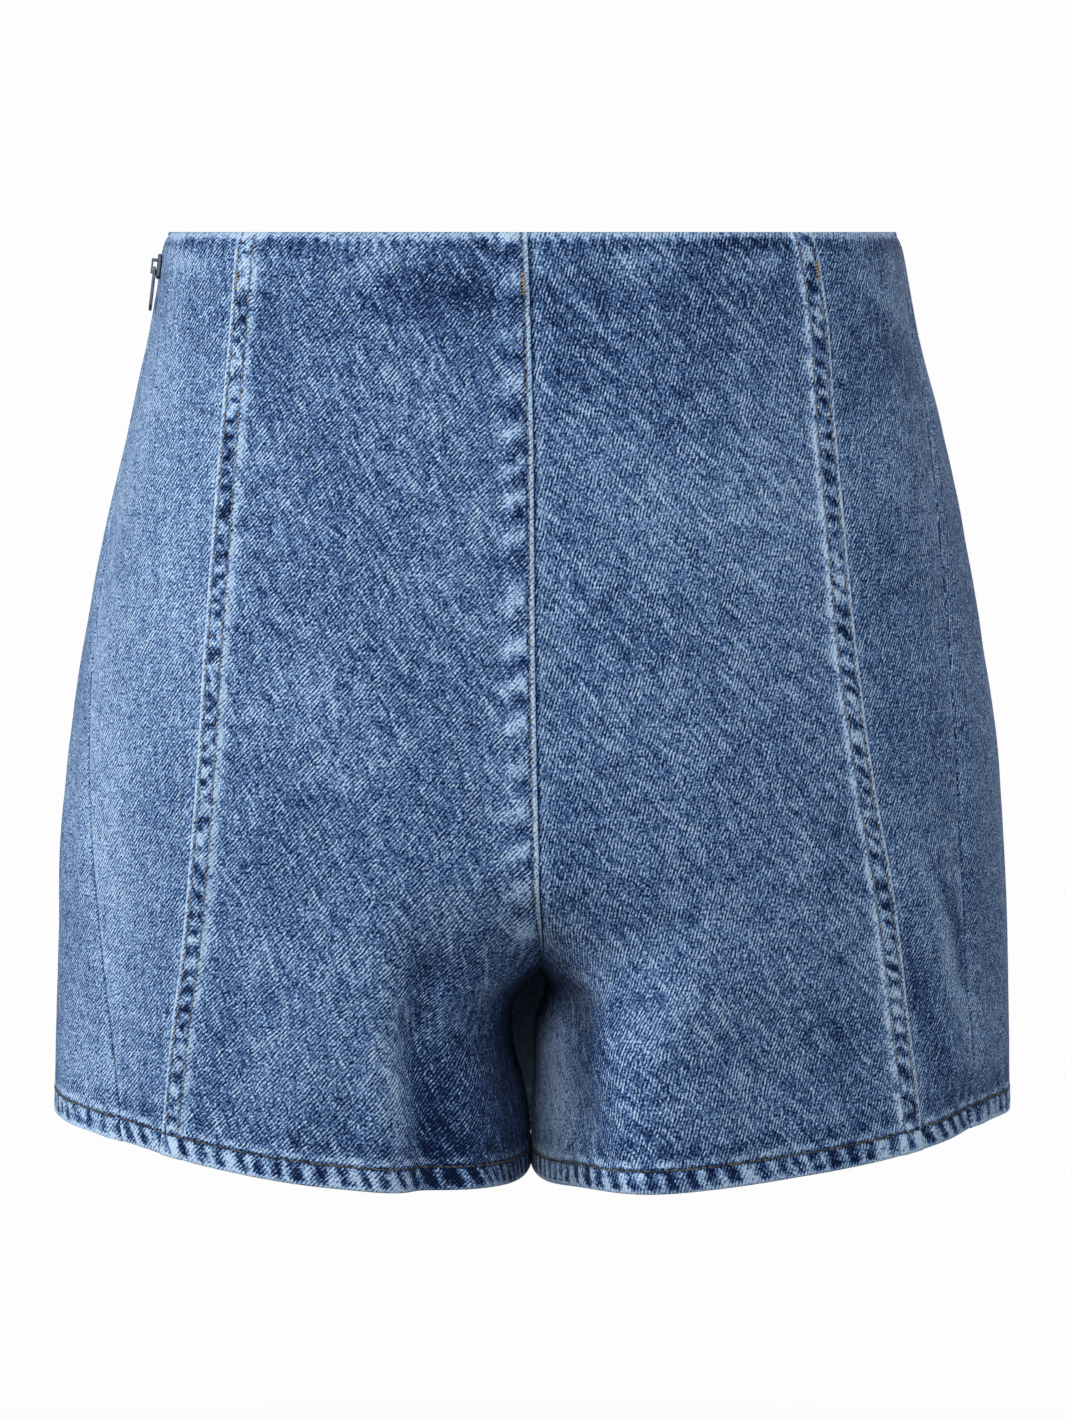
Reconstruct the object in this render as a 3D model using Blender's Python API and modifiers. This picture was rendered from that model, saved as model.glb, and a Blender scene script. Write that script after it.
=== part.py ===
"""High-waisted denim skort, filled out as it is worn, with the waist and both legs open and empty.

Axes: +Z is up, the back of the garment faces -Y, and the wearer's left is -X.
The origin is the middle of the waist's top edge, where a wearer's waist holds the garment.
Every cloth piece is a wall between two lofts of the same level-by-level sections, so that
neighbouring pieces keep one even gap along their seam.
"""
import math

import bmesh
import bpy
import numpy as np
from mathutils import Matrix, Vector

MM = 0.001

# Driving dimensions, in metres.
DENIM_WALL = 1.6 * MM          # back panels
FRONT_WALL = 1.2 * MM          # shorts fronts, under the skirt
SKIRT_WALL = 1.3 * MM
HEM_WALL = 3.0 * MM            # a turned hem is two more layers
SKIRT_HEM_WALL = 2.4 * MM
FRONT_HEM_WALL = 2.2 * MM
HEM_TURN = 9 * MM              # height of the turned hem
SEAM_GAP = 0.3 * MM            # between neighbouring pieces
LAP_STEP = 0.9 * MM            # how far a lapped princess seam's band stands out
CENTRE_LAP_STEP = 0.7 * MM     # the same on the centre-back seam
PRINCESS_BAND = 9.0 * MM       # width of the double-stitched band on each princess seam
CENTRE_BAND = 9 * MM           # width of the lapped band along the centre-back seam
BAND_SHOULDER = 0.8 * MM       # width of the slope at a band's inner edge
CENTRE_LAP_FADE = 35 * MM      # height above the bend over which the centre lap fades out

CROTCH_LEVEL = 271 * MM        # crotch point below the waist edge
BEND_LEVEL = 225 * MM          # level where the centre seams start to turn in to the crotch
CROTCH_DEPTH = 4 * MM          # crotch point in front of the side line
HEM_NOMINAL = 340 * MM         # level of the last section, before the hem's slope
HEM_SIDE = 328 * MM            # hem level at the widest points
HEM_INSEAM = 347 * MM          # level that the legs' hem curve reaches at the middle
INSEAM_DROP = 4 * MM           # how much lower the hem hangs at the inseams themselves
INSEAM_DROP_REACH = 12 * MM    # how far from the middle that drop fades out
SKIRT_HEM_CENTRE = 356 * MM    # skirt hem level at centre front
SKIRT_HEM_BLEND = (30 * MM, 120 * MM)   # distances from the side seam where the skirt's hem leaves the legs'
HEM_HALF_WIDTH = 178 * MM      # half width over which the hem's slope runs
HEM_SLOPE_LENGTH = 60 * MM     # height above the crotch over which the slope comes in

BODY_POWER = 2.3               # superellipse power of the body's outline in plan
INNER_REACH = 62 * MM          # how far out from the centre the legs round in to the inseam
CREASE_POWER = 1.25            # roundness of the inner leg where the bend starts
INSEAM_POWER = 2.2             # roundness of the inner leg from the crotch down
FOLD_CLEAR = (3 * MM, 14 * MM)     # distances from the centre over which folds come in
FOLD_DEPTHS = (12 * MM, 45 * MM)   # distances behind or in front of the side line, the same
FOLD_ENDS = (0.4, 0.85)            # shares of a fold's length where it is full, and starts to fade

SKIRT_CLEARANCE = 0.4 * MM     # skirt over the shorts at the side seams
SKIRT_STAND_OFF = 1.7 * MM     # extra clearance away from the side seams
FRONT_INSET = 0.5 * MM         # shorts fronts lie this much inside the back's surface
FRONT_INSET_DEEP = 1.2 * MM    # extra inset away from the side seams
FRONT_HEM_INSET = 1.4 * MM     # extra inset at the hem, to clear the skirt's turned hem
FRONT_INSET_FADE = 20 * MM     # distance from the inseam over which the fronts' inset comes in
EASE_START = 14 * MM           # distances from the side seam over which both extras come in
EASE_END = 34 * MM

ZIP_TOP = 4 * MM
ZIP_END = 158 * MM
ZIP_SLOT = 4.8 * MM            # width of the opening at the seam's top, where the chain shows
ZIP_SLOT_END = 20 * MM
ZIP_SLOT_CLOSED = 28 * MM
CHAIN_WIDTH = 4.0 * MM
CHAIN_THICK = 1.5 * MM
CHAIN_LEVELS = (9 * MM, 15 * MM, 20 * MM, 28 * MM)   # flush with the cloth to the second, sunk from the third
TAPE_STOPS = (2.4 * MM, 5 * MM, 8 * MM, 11 * MM)     # across a tape, from the seam line
TAPE_THICK = 0.6 * MM
TAPE_OVER_TOP = 2 * MM         # tape past the chain's two ends
TAPE_OVER_END = 6 * MM
STRIP_STEPS = 12               # levels along the tapes, and along the sunk chain
TAPE_COLUMNS = (5.5 * MM, 11.5 * MM)   # extra columns of the cloth over the zip's tapes
ZIP_SPACING = 0.35 * MM        # chain to tape, and tape to cloth
SLIDER_LEVEL = 13 * MM
SLIDER_SIZE = (4.0 * MM, 9.0 * MM, 1.6 * MM)
SLIDER_BEVEL = 0.4 * MM
SLIDER_SPAN = 4 * MM           # half the length over which the slider follows the seam
BRIDGE_SIZE = (1.6 * MM, 5.6 * MM, 2.2 * MM)
BRIDGE_WINDOW = (3.8 * MM, 1.6 * MM)
BRIDGE_ROOT = 0.4 * MM         # how deep the bridge is rooted in the slider
PULL_THICK = 0.9 * MM
PULL_AXIS = (-1.1 * MM, 2.7 * MM)   # pull's hinge, along and above the chain, from the slider's middle
PULL_LENGTH = 16 * MM
PULL_HALF_WIDTH = 2.4 * MM
PULL_EYE_HALF_WIDTH = 1.4 * MM
PULL_EYE_LENGTH = 4.0 * MM


def named_columns(names, *rows):
    """A short table in millimetres as a dictionary of columns in metres."""
    return {name: np.array(column) * MM for name, column in zip(names.split(), zip(*rows))}


# The worn outline, one row per level. side_* is where the side seam runs, in front of (+) or
# behind (-) the widest line. princess_* is how far out from the centre those seams run.
OUTLINE = named_columns(
    "down half_width back_depth front_depth princess_left princess_right side_left side_right lean",
    (0, 137.0, 90, 92, 107.5, 102.5, 2, 6, -1.8),
    (30, 140.6, 96, 97, 109.5, 107.0, -5, -12, -0.8),
    (70, 149.4, 105, 102, 112.8, 109.5, -10, -29, 0.2),
    (110, 157.8, 113, 106, 115.8, 113.0, -17, -44, 0.6),
    (150, 165.0, 119, 109, 118.6, 116.8, -28, -54, 0.9),
    (190, 170.6, 122, 111, 121.0, 122.0, -43, -60, 1.5),
    (230, 173.8, 121, 113, 124.5, 128.5, -52, -61, 2.4),
    (270, 175.2, 118, 116, 128.8, 134.5, -58, -58, 2.6),
    (290, 175.5, 117, 117.5, 131.2, 137.2, -61, -55.5, -3.6),
    (312, 175.9, 116, 119, 133.8, 140.0, -64, -53, -1.4),
    (360, 177.0, 115, 122, 138.5, 144.5, -69, -48, -0.4),
)

# How far the inner leg stands off the centre, below the crotch.
INNER_LEG = named_columns(
    "down stand_off",
    (271, 0.15), (276, 4.2), (282, 5.2), (290, 4.4), (305, 4.0), (325, 3.5), (338, 2.2), (346, 1.5),
    (360, 1.5),
)

# The largest folds, each along a line down the cloth. A negative height is a trough.
BACK_FOLDS = named_columns(
    "x_top down_top x_bottom down_bottom half_width height",
    (-43, 232, -31, 372, 10, -8.0),     # valley down the left leg's back
    (-14, 262, -21, 372, 11, 3.0),      # fold beside the left inseam
    (26, 250, 40, 350, 14, 3.0),        # ridge slanting out from the crotch on the right leg
    (14, 262, 19, 330, 8, -3.0),        # hollow beside it
    (-75, 246, -92, 360, 20, 2.0),      # broad swell beside the left valley
    (128, 200, 168, 330, 11, 3.5),      # ridge down the right side panel
    (146, 235, 176, 372, 12, -3.0),     # its valley, towards the side seam
    (-150, 190, -146, 372, 17, -2.0),   # soft trough down the left side panel
    (82, 262, 104, 372, 18, -1.8),      # soft trough on the right leg
)
FRONT_FOLDS = named_columns(
    "x_top down_top x_bottom down_bottom half_width height",
    (-62, 205, -88, 390, 17, 4.5),
    (-24, 250, -34, 390, 15, -3.5),
    (12, 225, 14, 390, 16, 3.5),
    (48, 240, 66, 390, 15, -4.0),
    (84, 190, 118, 390, 17, 4.5),
    (-112, 235, -138, 390, 15, -3.0),
    (138, 225, 156, 390, 13, -2.5),
)

TORSO_LEVELS = [0, 10, 20, 28, 50, 76, 104, 132, 160, 180, 204]
BEND_ANGLES = [0, 20, 38, 54, 70, 90]
LEG_LEVELS = [274, 279, 287, 300, 315, 330, 332, 340]
SECTION_POINTS = 60            # samples along each quarter of a section


def level_list():
    """Section levels in metres, closer together where the centre seams turn in to the crotch."""
    bend = [BEND_LEVEL + (CROTCH_LEVEL - BEND_LEVEL) * math.sin(math.radians(angle))
            for angle in BEND_ANGLES]
    return [level * MM for level in TORSO_LEVELS] + bend + [level * MM for level in LEG_LEVELS]


def along(table, name, down):
    """A smooth curve through one column of a table, read at a level."""
    levels, values = table["down"], table[name]
    slopes = np.gradient(values, levels)
    row = int(np.clip(np.searchsorted(levels, down) - 1, 0, len(levels) - 2))
    height = levels[row + 1] - levels[row]
    t = (down - levels[row]) / height
    return ((1 + 2 * t) * (1 - t) ** 2 * values[row] + t * (1 - t) ** 2 * height * slopes[row]
            + t * t * (3 - 2 * t) * values[row + 1] + t * t * (t - 1) * height * slopes[row + 1])


def smooth(value, low, high):
    """0 below low, 1 above high, and a smooth rise between them."""
    t = np.clip((value - low) / (high - low), 0.0, 1.0)
    return t * t * (3.0 - 2.0 * t)


def turned_in(down):
    """Share of the way that the centre seams have turned in to the crotch point, 0 to 1."""
    share = np.clip((down - BEND_LEVEL) / (CROTCH_LEVEL - BEND_LEVEL), 0.0, 1.0)
    return 1.0 - math.sqrt(1.0 - share * share)


def with_normals(x, y):
    """A plan curve as arc length, points and outward unit normals."""
    steps = np.hypot(np.diff(x), np.diff(y))
    keep = np.concatenate(([True], steps > 1e-9))
    x, y = x[keep], y[keep]
    arc = np.concatenate(([0.0], np.cumsum(np.hypot(np.diff(x), np.diff(y)))))
    tangent_x, tangent_y = np.gradient(x, arc), np.gradient(y, arc)
    length = np.hypot(tangent_x, tangent_y)
    return {"arc": arc, "x": x, "y": y, "nx": tangent_y / length, "ny": -tangent_x / length}


def half_section(down, notched=True):
    """Plan curve of one half at a level, from centre back round the side to centre front.

    Where notched, it turns in to the crotch and closes round the leg below it.
    """
    half_width = along(OUTLINE, "half_width", down)
    back, front = along(OUTLINE, "back_depth", down), along(OUTLINE, "front_depth", down)
    turn = turned_in(down) if notched else 0.0
    start_x = SEAM_GAP / 2
    if notched and down > CROTCH_LEVEL:
        start_x = along(INNER_LEG, "stand_off", down)
    power = CREASE_POWER + (INSEAM_POWER - CREASE_POWER) * turn

    angle = np.linspace(0.0, math.pi / 2, SECTION_POINTS)
    inner_x = INNER_REACH - (INNER_REACH - start_x) * np.cos(angle) ** (2 / power)
    inner_x[-1] = INNER_REACH
    inner_share = 1.0 - turn * (1.0 - np.sin(angle) ** (2 / power))
    inner_bulge = (1.0 - (inner_x / half_width) ** BODY_POWER) ** (1 / BODY_POWER)

    reach_angle = math.asin((INNER_REACH / half_width) ** (BODY_POWER / 2))
    angle = np.linspace(reach_angle, math.pi / 2, SECTION_POINTS)
    outer_x = half_width * np.sin(angle) ** (2 / BODY_POWER)
    outer_bulge = np.clip(np.cos(angle), 0.0, 1.0) ** (2 / BODY_POWER)
    outer_bulge[-1] = 0.0

    x = np.concatenate((inner_x, outer_x[1:]))
    bulge = np.concatenate((inner_bulge, outer_bulge[1:]))
    share = np.concatenate((inner_share, np.ones(len(outer_x) - 1)))
    back_y = CROTCH_DEPTH * (1 - share) - back * bulge * share
    front_y = CROTCH_DEPTH * (1 - share) + front * bulge * share
    section = with_normals(np.concatenate((x, x[-2::-1])), np.concatenate((back_y, front_y[-2::-1])))
    section["widest"] = len(x) - 1
    section["reach_arc"] = section["arc"][SECTION_POINTS - 1]
    section["front_reach_arc"] = section["arc"][len(section["arc"]) - SECTION_POINTS]
    return section


def read_section(section, arc):
    """Points and normals of a plan curve at given arc lengths."""
    x, y, nx, ny = (np.interp(arc, section["arc"], section[name]) for name in ("x", "y", "nx", "ny"))
    length = np.hypot(nx, ny)
    return x, y, nx / length, ny / length


def arc_at_width(section, x):
    """Arc length where the back of a section is a given distance out from the centre."""
    last = section["widest"]
    return float(np.interp(x, section["x"][:last], section["arc"][:last]))


def arc_at_depth(section, y):
    """Arc length where the side of a section is a given distance behind or in front."""
    near_side = section["x"] > INNER_REACH
    return float(np.interp(y, section["y"][near_side], section["arc"][near_side]))


def side_name(side):
    return "left" if side < 0 else "right"


def princess_arc(section, side, down):
    return arc_at_width(section, along(OUTLINE, "princess_" + side_name(side), down))


def side_arc(section, side, down):
    return arc_at_depth(section, along(OUTLINE, "side_" + side_name(side), down))


def side_half_gap(side, down):
    """Half the gap at a side seam. The left one opens at its top, over the zip's chain."""
    closed = SEAM_GAP / 2
    if side > 0:
        return closed
    return closed + (ZIP_SLOT / 2 - closed) * (1.0 - smooth(down, ZIP_SLOT_END, ZIP_SLOT_CLOSED))


def fold_height(folds, x, down):
    """Height of all folds of a table at a point of the cloth."""
    height = np.zeros_like(x)
    for x_top, top, x_bottom, bottom, half_width, peak in zip(*(folds[name] for name in (
            "x_top", "down_top", "x_bottom", "down_bottom", "half_width", "height"))):
        t = (down - top) / (bottom - top)
        across = x - (x_top + (x_bottom - x_top) * t)
        ends = smooth(t, 0.0, FOLD_ENDS[0]) * (1.0 - smooth(t, FOLD_ENDS[1], 1.0))
        height += peak * np.exp(-(across / half_width) ** 2) * ends
    return height


def leg_hem(x):
    """Middle level of the legs' hem curve for points at x."""
    return HEM_INSEAM + INSEAM_DROP * np.exp(-(x / INSEAM_DROP_REACH) ** 2)


def skirt_hem(from_seam):
    """Middle level of the skirt's hem curve: that of the legs at the side seam, lower at the front."""
    return HEM_INSEAM + (SKIRT_HEM_CENTRE - HEM_INSEAM) * smooth(from_seam, *SKIRT_HEM_BLEND)


def hem_shift(x, down, centre_level):
    """How far a point moves down so that the last level follows the hem's slope."""
    hem = HEM_SIDE + (centre_level - HEM_SIDE) * np.clip(1.0 - (x / HEM_HALF_WIDTH) ** 2, 0.0, 1.0)
    return (hem - HEM_NOMINAL) * smooth(down, CROTCH_LEVEL - HEM_SLOPE_LENGTH, HEM_NOMINAL)


def place(points, side, down, hem_level=None):
    """World points and normals for section points, on the left (-1) or the right (+1)."""
    x, y, nx, ny = points
    hem_level = leg_hem(x) if hem_level is None else hem_level
    half_width = along(OUTLINE, "half_width", down)
    world_x = side * x
    clear_of_centre = smooth(x, *FOLD_CLEAR)
    height = clear_of_centre * (fold_height(BACK_FOLDS, world_x, down) * smooth(-y, *FOLD_DEPTHS)
                                + fold_height(FRONT_FOLDS, world_x, down) * smooth(y, *FOLD_DEPTHS))
    lean = along(OUTLINE, "lean", down) * np.clip(1.0 - x / half_width, 0.0, 1.0) ** 2
    level = down + hem_shift(x, down, hem_level)
    spots = np.stack((world_x + side * nx * height + lean, y + ny * height, -level), axis=-1)
    normals = np.stack((side * nx, ny, np.zeros_like(nx)), axis=-1)
    return spots, normals


def spread(stops, counts):
    """Arc lengths that pass through every stop, with a number of even steps between each pair."""
    arcs = [stops[0]]
    for low, high, count in zip(stops, stops[1:], counts):
        arcs.extend(np.linspace(low, high, count + 1)[1:])
    return np.array(arcs)


def hem_share(down):
    """1 on the turned hem, 0 above it."""
    return 1.0 if down > HEM_NOMINAL - HEM_TURN else 0.0


def wall_between(name, outer, inner, material):
    """One closed wall between two grids of points that have the same rows and columns."""
    rows, columns = outer.shape[:2]
    mesh = bpy.data.meshes.new(name)
    build = bmesh.new()
    grids = [[[build.verts.new(grid[r, c]) for c in range(columns)] for r in range(rows)]
             for grid in (outer, inner)]
    for r in range(rows - 1):
        for c in range(columns - 1):
            for grid in grids:
                build.faces.new((grid[r][c], grid[r][c + 1], grid[r + 1][c + 1], grid[r + 1][c]))
    around = ([(0, c) for c in range(columns)] + [(r, columns - 1) for r in range(1, rows)]
              + [(rows - 1, c) for c in range(columns - 2, -1, -1)]
              + [(r, 0) for r in range(rows - 2, 0, -1)])
    for (r0, c0), (r1, c1) in zip(around, around[1:] + around[:1]):
        build.faces.new((grids[0][r0][c0], grids[0][r1][c1], grids[1][r1][c1], grids[1][r0][c0]))
    bmesh.ops.recalc_face_normals(build, faces=build.faces)
    build.to_mesh(mesh)
    build.free()
    mesh.shade_smooth()
    mesh.set_sharp_from_angle(angle=math.radians(50))
    mesh.materials.append(material)
    return mesh


def offset(grid, normals, distances):
    """A grid moved along its normals, by one distance per row, column or point."""
    return grid + normals * distances[..., None]


def back_columns(section, side, down):
    """Columns of a back panel, and how far each stands out as part of a lapped seam band."""
    low = SEAM_GAP / 2
    high = princess_arc(section, side, down) - SEAM_GAP / 2
    stops = [low, low + CENTRE_BAND, low + CENTRE_BAND + BAND_SHOULDER, section["reach_arc"],
             high - PRINCESS_BAND - BAND_SHOULDER, high - PRINCESS_BAND, high]
    arcs = spread(stops, (1, 1, 7, 3, 1, 1))
    step = np.zeros(len(arcs))
    step[-2:] = LAP_STEP
    if side < 0:
        fade = 1.0 - smooth(down, BEND_LEVEL - CENTRE_LAP_FADE, BEND_LEVEL)
        step[:2] = CENTRE_LAP_STEP * fade
    return arcs, step


def side_back_columns(section, side, down):
    low = princess_arc(section, side, down) + SEAM_GAP / 2
    high = side_arc(section, side, down) - side_half_gap(side, down)
    arcs = spread((low, high - TAPE_COLUMNS[1], high - TAPE_COLUMNS[0], high), (4, 1, 1))
    return arcs, np.zeros(len(arcs))


def front_columns(section, side, down):
    """Columns of a shorts front, set inwards to leave room for the skirt over it."""
    seam = side_arc(section, side, down)
    low = seam + side_half_gap(side, down)
    high = section["arc"][-1] - SEAM_GAP / 2
    arcs = spread((low, low + TAPE_COLUMNS[0], low + TAPE_COLUMNS[1], section["front_reach_arc"], high),
                  (1, 1, 10, 8))
    inset = (FRONT_INSET + FRONT_INSET_DEEP * smooth(arcs - seam, EASE_START, EASE_END)
             + FRONT_HEM_INSET * hem_share(down))
    centre = smooth(section["arc"][-1] - arcs, 0.0, FRONT_INSET_FADE)
    return arcs, -inset * (centre if down > BEND_LEVEL else 1.0)


def half_panel(name, side, columns, wall, hem_wall, material):
    """A panel that lies on one half of the garment."""
    outer, inner = [], []
    for down in level_list():
        section = half_section(down)
        arcs, step = columns(section, side, down)
        spots, normals = place(read_section(section, arcs), side, down)
        thick = wall + (hem_wall - wall) * hem_share(down)
        outer.append(offset(spots, normals, step))
        inner.append(offset(spots, normals, np.minimum(step, 0.0) - thick))
    return wall_between(name, np.array(outer), np.array(inner), material)


def skirt_row(down):
    """Outer points and normals of the skirt at a level, from the left to the right side seam."""
    section = half_section(down, notched=False)
    spots, normals = [], []
    for side in (-1, 1):
        seam = side_arc(section, side, down)
        low = seam + side_half_gap(side, down)
        arcs = spread((low, low + TAPE_COLUMNS[0], low + TAPE_COLUMNS[1], section["front_reach_arc"],
                       section["arc"][-1]), (1, 1, 10, 4))
        row, row_normals = place(read_section(section, arcs), side, down, skirt_hem(arcs - seam))
        stand = (SKIRT_CLEARANCE + SKIRT_WALL
                 + SKIRT_STAND_OFF * smooth(arcs - seam, EASE_START, EASE_END))
        row = offset(row, row_normals, stand)
        spots.append(row if side < 0 else row[-2::-1])
        normals.append(row_normals if side < 0 else row_normals[-2::-1])
    return np.concatenate(spots), np.concatenate(normals)


def skirt_panel(name, material):
    """The skirt's front: one sheet over both legs, caught in the side seams."""
    outer, inner = [], []
    for down in level_list():
        spots, normals = skirt_row(down)
        thick = SKIRT_WALL + (SKIRT_HEM_WALL - SKIRT_WALL) * hem_share(down)
        outer.append(spots)
        inner.append(offset(spots, normals, np.full(len(spots), -thick)))
    return wall_between(name, np.array(outer), np.array(inner), material)


def seam_strip(name, arc_offsets, levels, outer_out, thick, material):
    """A thin strip along the left side seam. outer_out is how far out it lies at each level."""
    outer, inner = [], []
    for down, out in zip(levels, outer_out):
        section = half_section(down)
        arcs = side_arc(section, -1, down) + np.array(arc_offsets)
        spots, normals = place(read_section(section, arcs), -1, down)
        outer.append(offset(spots, normals, np.full(len(arcs), out)))
        inner.append(offset(spots, normals, np.full(len(arcs), out - thick)))
    return wall_between(name, np.array(outer), np.array(inner), material)


def seam_frame(down):
    """Matrix at the left side seam: X across it, Y up along it and Z out of the cloth."""
    def spot(level):
        section = half_section(level)
        arc = np.array([side_arc(section, -1, level)])
        points, normals = place(read_section(section, arc), -1, level)
        return Vector(points[0]), Vector(normals[0])
    place_at, normal = spot(down)
    up = (spot(down - SLIDER_SPAN)[0] - spot(down + SLIDER_SPAN)[0]).normalized()
    out = (normal - up * normal.dot(up)).normalized()
    across = up.cross(out)
    frame = Matrix((across, up, out)).transposed().to_4x4()
    frame.translation = place_at
    return frame


def principled(name, colour, roughness, metallic=0.0):
    material = bpy.data.materials.new(name)
    material.use_nodes = True
    shader = material.node_tree.nodes["Principled BSDF"]
    shader.inputs["Base Color"].default_value = (*colour, 1.0)
    shader.inputs["Roughness"].default_value = roughness
    shader.inputs["Metallic"].default_value = metallic
    material.diffuse_color = (*colour, 1.0)
    return material


def new_collection(name):
    collection = bpy.data.collections.new(name)
    bpy.context.scene.collection.children.link(collection)
    return collection


def add_mesh(collection, mesh, parent=None):
    item = bpy.data.objects.new(mesh.name, mesh)
    item.parent = parent
    collection.objects.link(item)
    return item


def box(name, size, centre, collection, parent=None, material=None):
    """A cuboid with its scale in the mesh, placed in its parent's frame."""
    mesh = bpy.data.meshes.new(name)
    build = bmesh.new()
    bmesh.ops.create_cube(build, size=1.0)
    bmesh.ops.scale(build, vec=size, verts=build.verts)
    bmesh.ops.translate(build, vec=centre, verts=build.verts)
    build.to_mesh(mesh)
    build.free()
    if material:
        mesh.materials.append(material)
    return add_mesh(collection, mesh, parent)


def cutter(item):
    item.hide_render = True
    item.display_type = "WIRE"
    return item


def boolean(target, operand, operation):
    modifier = target.modifiers.new(operation.title(), "BOOLEAN")
    modifier.operation = operation
    modifier.object = operand
    modifier.solver = "EXACT"


def build_slider(frame_empty, parts, cutters, material):
    """Slider body with a bridge that the pull's bar turns under."""
    width, length, height = SLIDER_SIZE
    bridge_width, bridge_length, bridge_height = BRIDGE_SIZE
    window_length, window_height = BRIDGE_WINDOW
    base = SEAM_GAP
    top = base + height
    slider = box("zip_slider", (width, length, height), (0, 0, base + height / 2), parts, frame_empty,
                 material)
    bridge = cutter(box("slider_bridge", (bridge_width, bridge_length, bridge_height + BRIDGE_ROOT),
                        (0, 0, top + (bridge_height - BRIDGE_ROOT) / 2), cutters, frame_empty))
    window = cutter(box("slider_window", (width, window_length, window_height),
                        (0, 0, top + window_height / 2), cutters, frame_empty))
    bevel = slider.modifiers.new("Bevel", "BEVEL")
    bevel.width = SLIDER_BEVEL
    bevel.segments = 2
    boolean(slider, bridge, "UNION")
    boolean(slider, window, "DIFFERENCE")


def pull_outline():
    """Outline of the pull tab from its bar at the top: straight sides and a round end."""
    half_bar = PULL_THICK / 2
    end_centre = -(PULL_LENGTH - PULL_HALF_WIDTH)
    arc = [(PULL_HALF_WIDTH * math.cos(angle), end_centre + PULL_HALF_WIDTH * math.sin(angle))
           for angle in np.linspace(0.0, -math.pi, 13)]
    return [(PULL_HALF_WIDTH, half_bar)] + arc + [(-PULL_HALF_WIDTH, half_bar)]


def build_pull(parts, parent, material):
    """Flat pull tab with an eye for the slider's bridge, its origin on its hinge."""
    outline = bpy.data.curves.new("zip_pull", "CURVE")
    outline.dimensions = "2D"
    outline.fill_mode = "BOTH"
    outline.extrude = PULL_THICK / 2
    eye_top, eye_bottom = -PULL_THICK / 2, -PULL_EYE_LENGTH
    eye = [(-PULL_EYE_HALF_WIDTH, eye_top), (PULL_EYE_HALF_WIDTH, eye_top),
           (PULL_EYE_HALF_WIDTH, eye_bottom), (-PULL_EYE_HALF_WIDTH, eye_bottom)]
    for points in (pull_outline(), eye):
        spline = outline.splines.new("POLY")
        spline.points.add(len(points) - 1)
        spline.use_cyclic_u = True
        for point, (x, y) in zip(spline.points, points):
            point.co = (x, y, 0.0, 1.0)
    outline.materials.append(material)
    pull = bpy.data.objects.new("zip_pull", outline)
    pull.parent = parent
    along_seam, above_seam = PULL_AXIS
    pull.location = (0.0, along_seam, above_seam)
    parts.objects.link(pull)
    weld = pull.modifiers.new("Weld", "WELD")
    weld.merge_threshold = 0.00001


def build_zip(parts, cutters, tape, coil, metal):
    """Closed side zip: two tapes, the slider and its pull, and the chain, which the seam hides lower down."""
    inside_cloth = -(DENIM_WALL + ZIP_SPACING)
    across = np.array(TAPE_STOPS)
    levels = np.linspace(ZIP_TOP - TAPE_OVER_TOP, ZIP_END + TAPE_OVER_END, STRIP_STEPS)
    for name, arcs in (("zip_tape_back", -across[::-1]), ("zip_tape_front", across)):
        add_mesh(parts, seam_strip(name, arcs, levels, np.full(STRIP_STEPS, inside_cloth), TAPE_THICK, tape))
    half = CHAIN_WIDTH / 2
    lower = np.linspace(CHAIN_LEVELS[-1], ZIP_END, STRIP_STEPS)[1:]
    levels = np.concatenate(([ZIP_TOP], CHAIN_LEVELS, lower))
    sunk = smooth(levels, CHAIN_LEVELS[1], CHAIN_LEVELS[2])
    add_mesh(parts, seam_strip("zip_chain", (-half, -half / 2, half / 2, half), levels, inside_cloth * sunk,
                               CHAIN_THICK, coil))
    frame_empty = bpy.data.objects.new("slider_frame", None)
    frame_empty.matrix_world = seam_frame(SLIDER_LEVEL)
    parts.objects.link(frame_empty)
    build_slider(frame_empty, parts, cutters, metal)
    build_pull(parts, frame_empty, metal)


def clear_scene():
    for item in list(bpy.data.objects):
        bpy.data.objects.remove(item, do_unlink=True)


def main():
    clear_scene()
    parts = new_collection("denim_skort")
    cutters = new_collection("cutters")
    denim = principled("denim", (0.10, 0.18, 0.32), 0.9)
    denim_side = principled("denim_side_panels", (0.13, 0.22, 0.38), 0.9)
    denim_under = principled("denim_fronts", (0.08, 0.15, 0.28), 0.9)
    tape = principled("zip_tape", (0.03, 0.05, 0.09), 0.8)
    coil = principled("zip_coil", (0.02, 0.03, 0.06), 0.5)
    metal = principled("zip_metal", (0.03, 0.045, 0.09), 0.35, 0.5)
    for side in (-1, 1):
        word = side_name(side)
        add_mesh(parts, half_panel("back_" + word, side, back_columns, DENIM_WALL, HEM_WALL,
                                   denim))
        add_mesh(parts, half_panel("side_back_" + word, side, side_back_columns, DENIM_WALL, HEM_WALL,
                                   denim_side))
        add_mesh(parts, half_panel("front_" + word, side, front_columns, FRONT_WALL, FRONT_HEM_WALL,
                                   denim_under))
    add_mesh(parts, skirt_panel("skirt_front", denim))
    build_zip(parts, cutters, tape, coil, metal)


main()
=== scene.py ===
"""Looks of the denim skort: fine cloth shells, sewing and zip, on the same sections as the solids.

Axes as in the model: +Z up, the garment's back faces -Y, the wearer's left is -X, metres.
"""

import collections
import functools
import math

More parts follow.
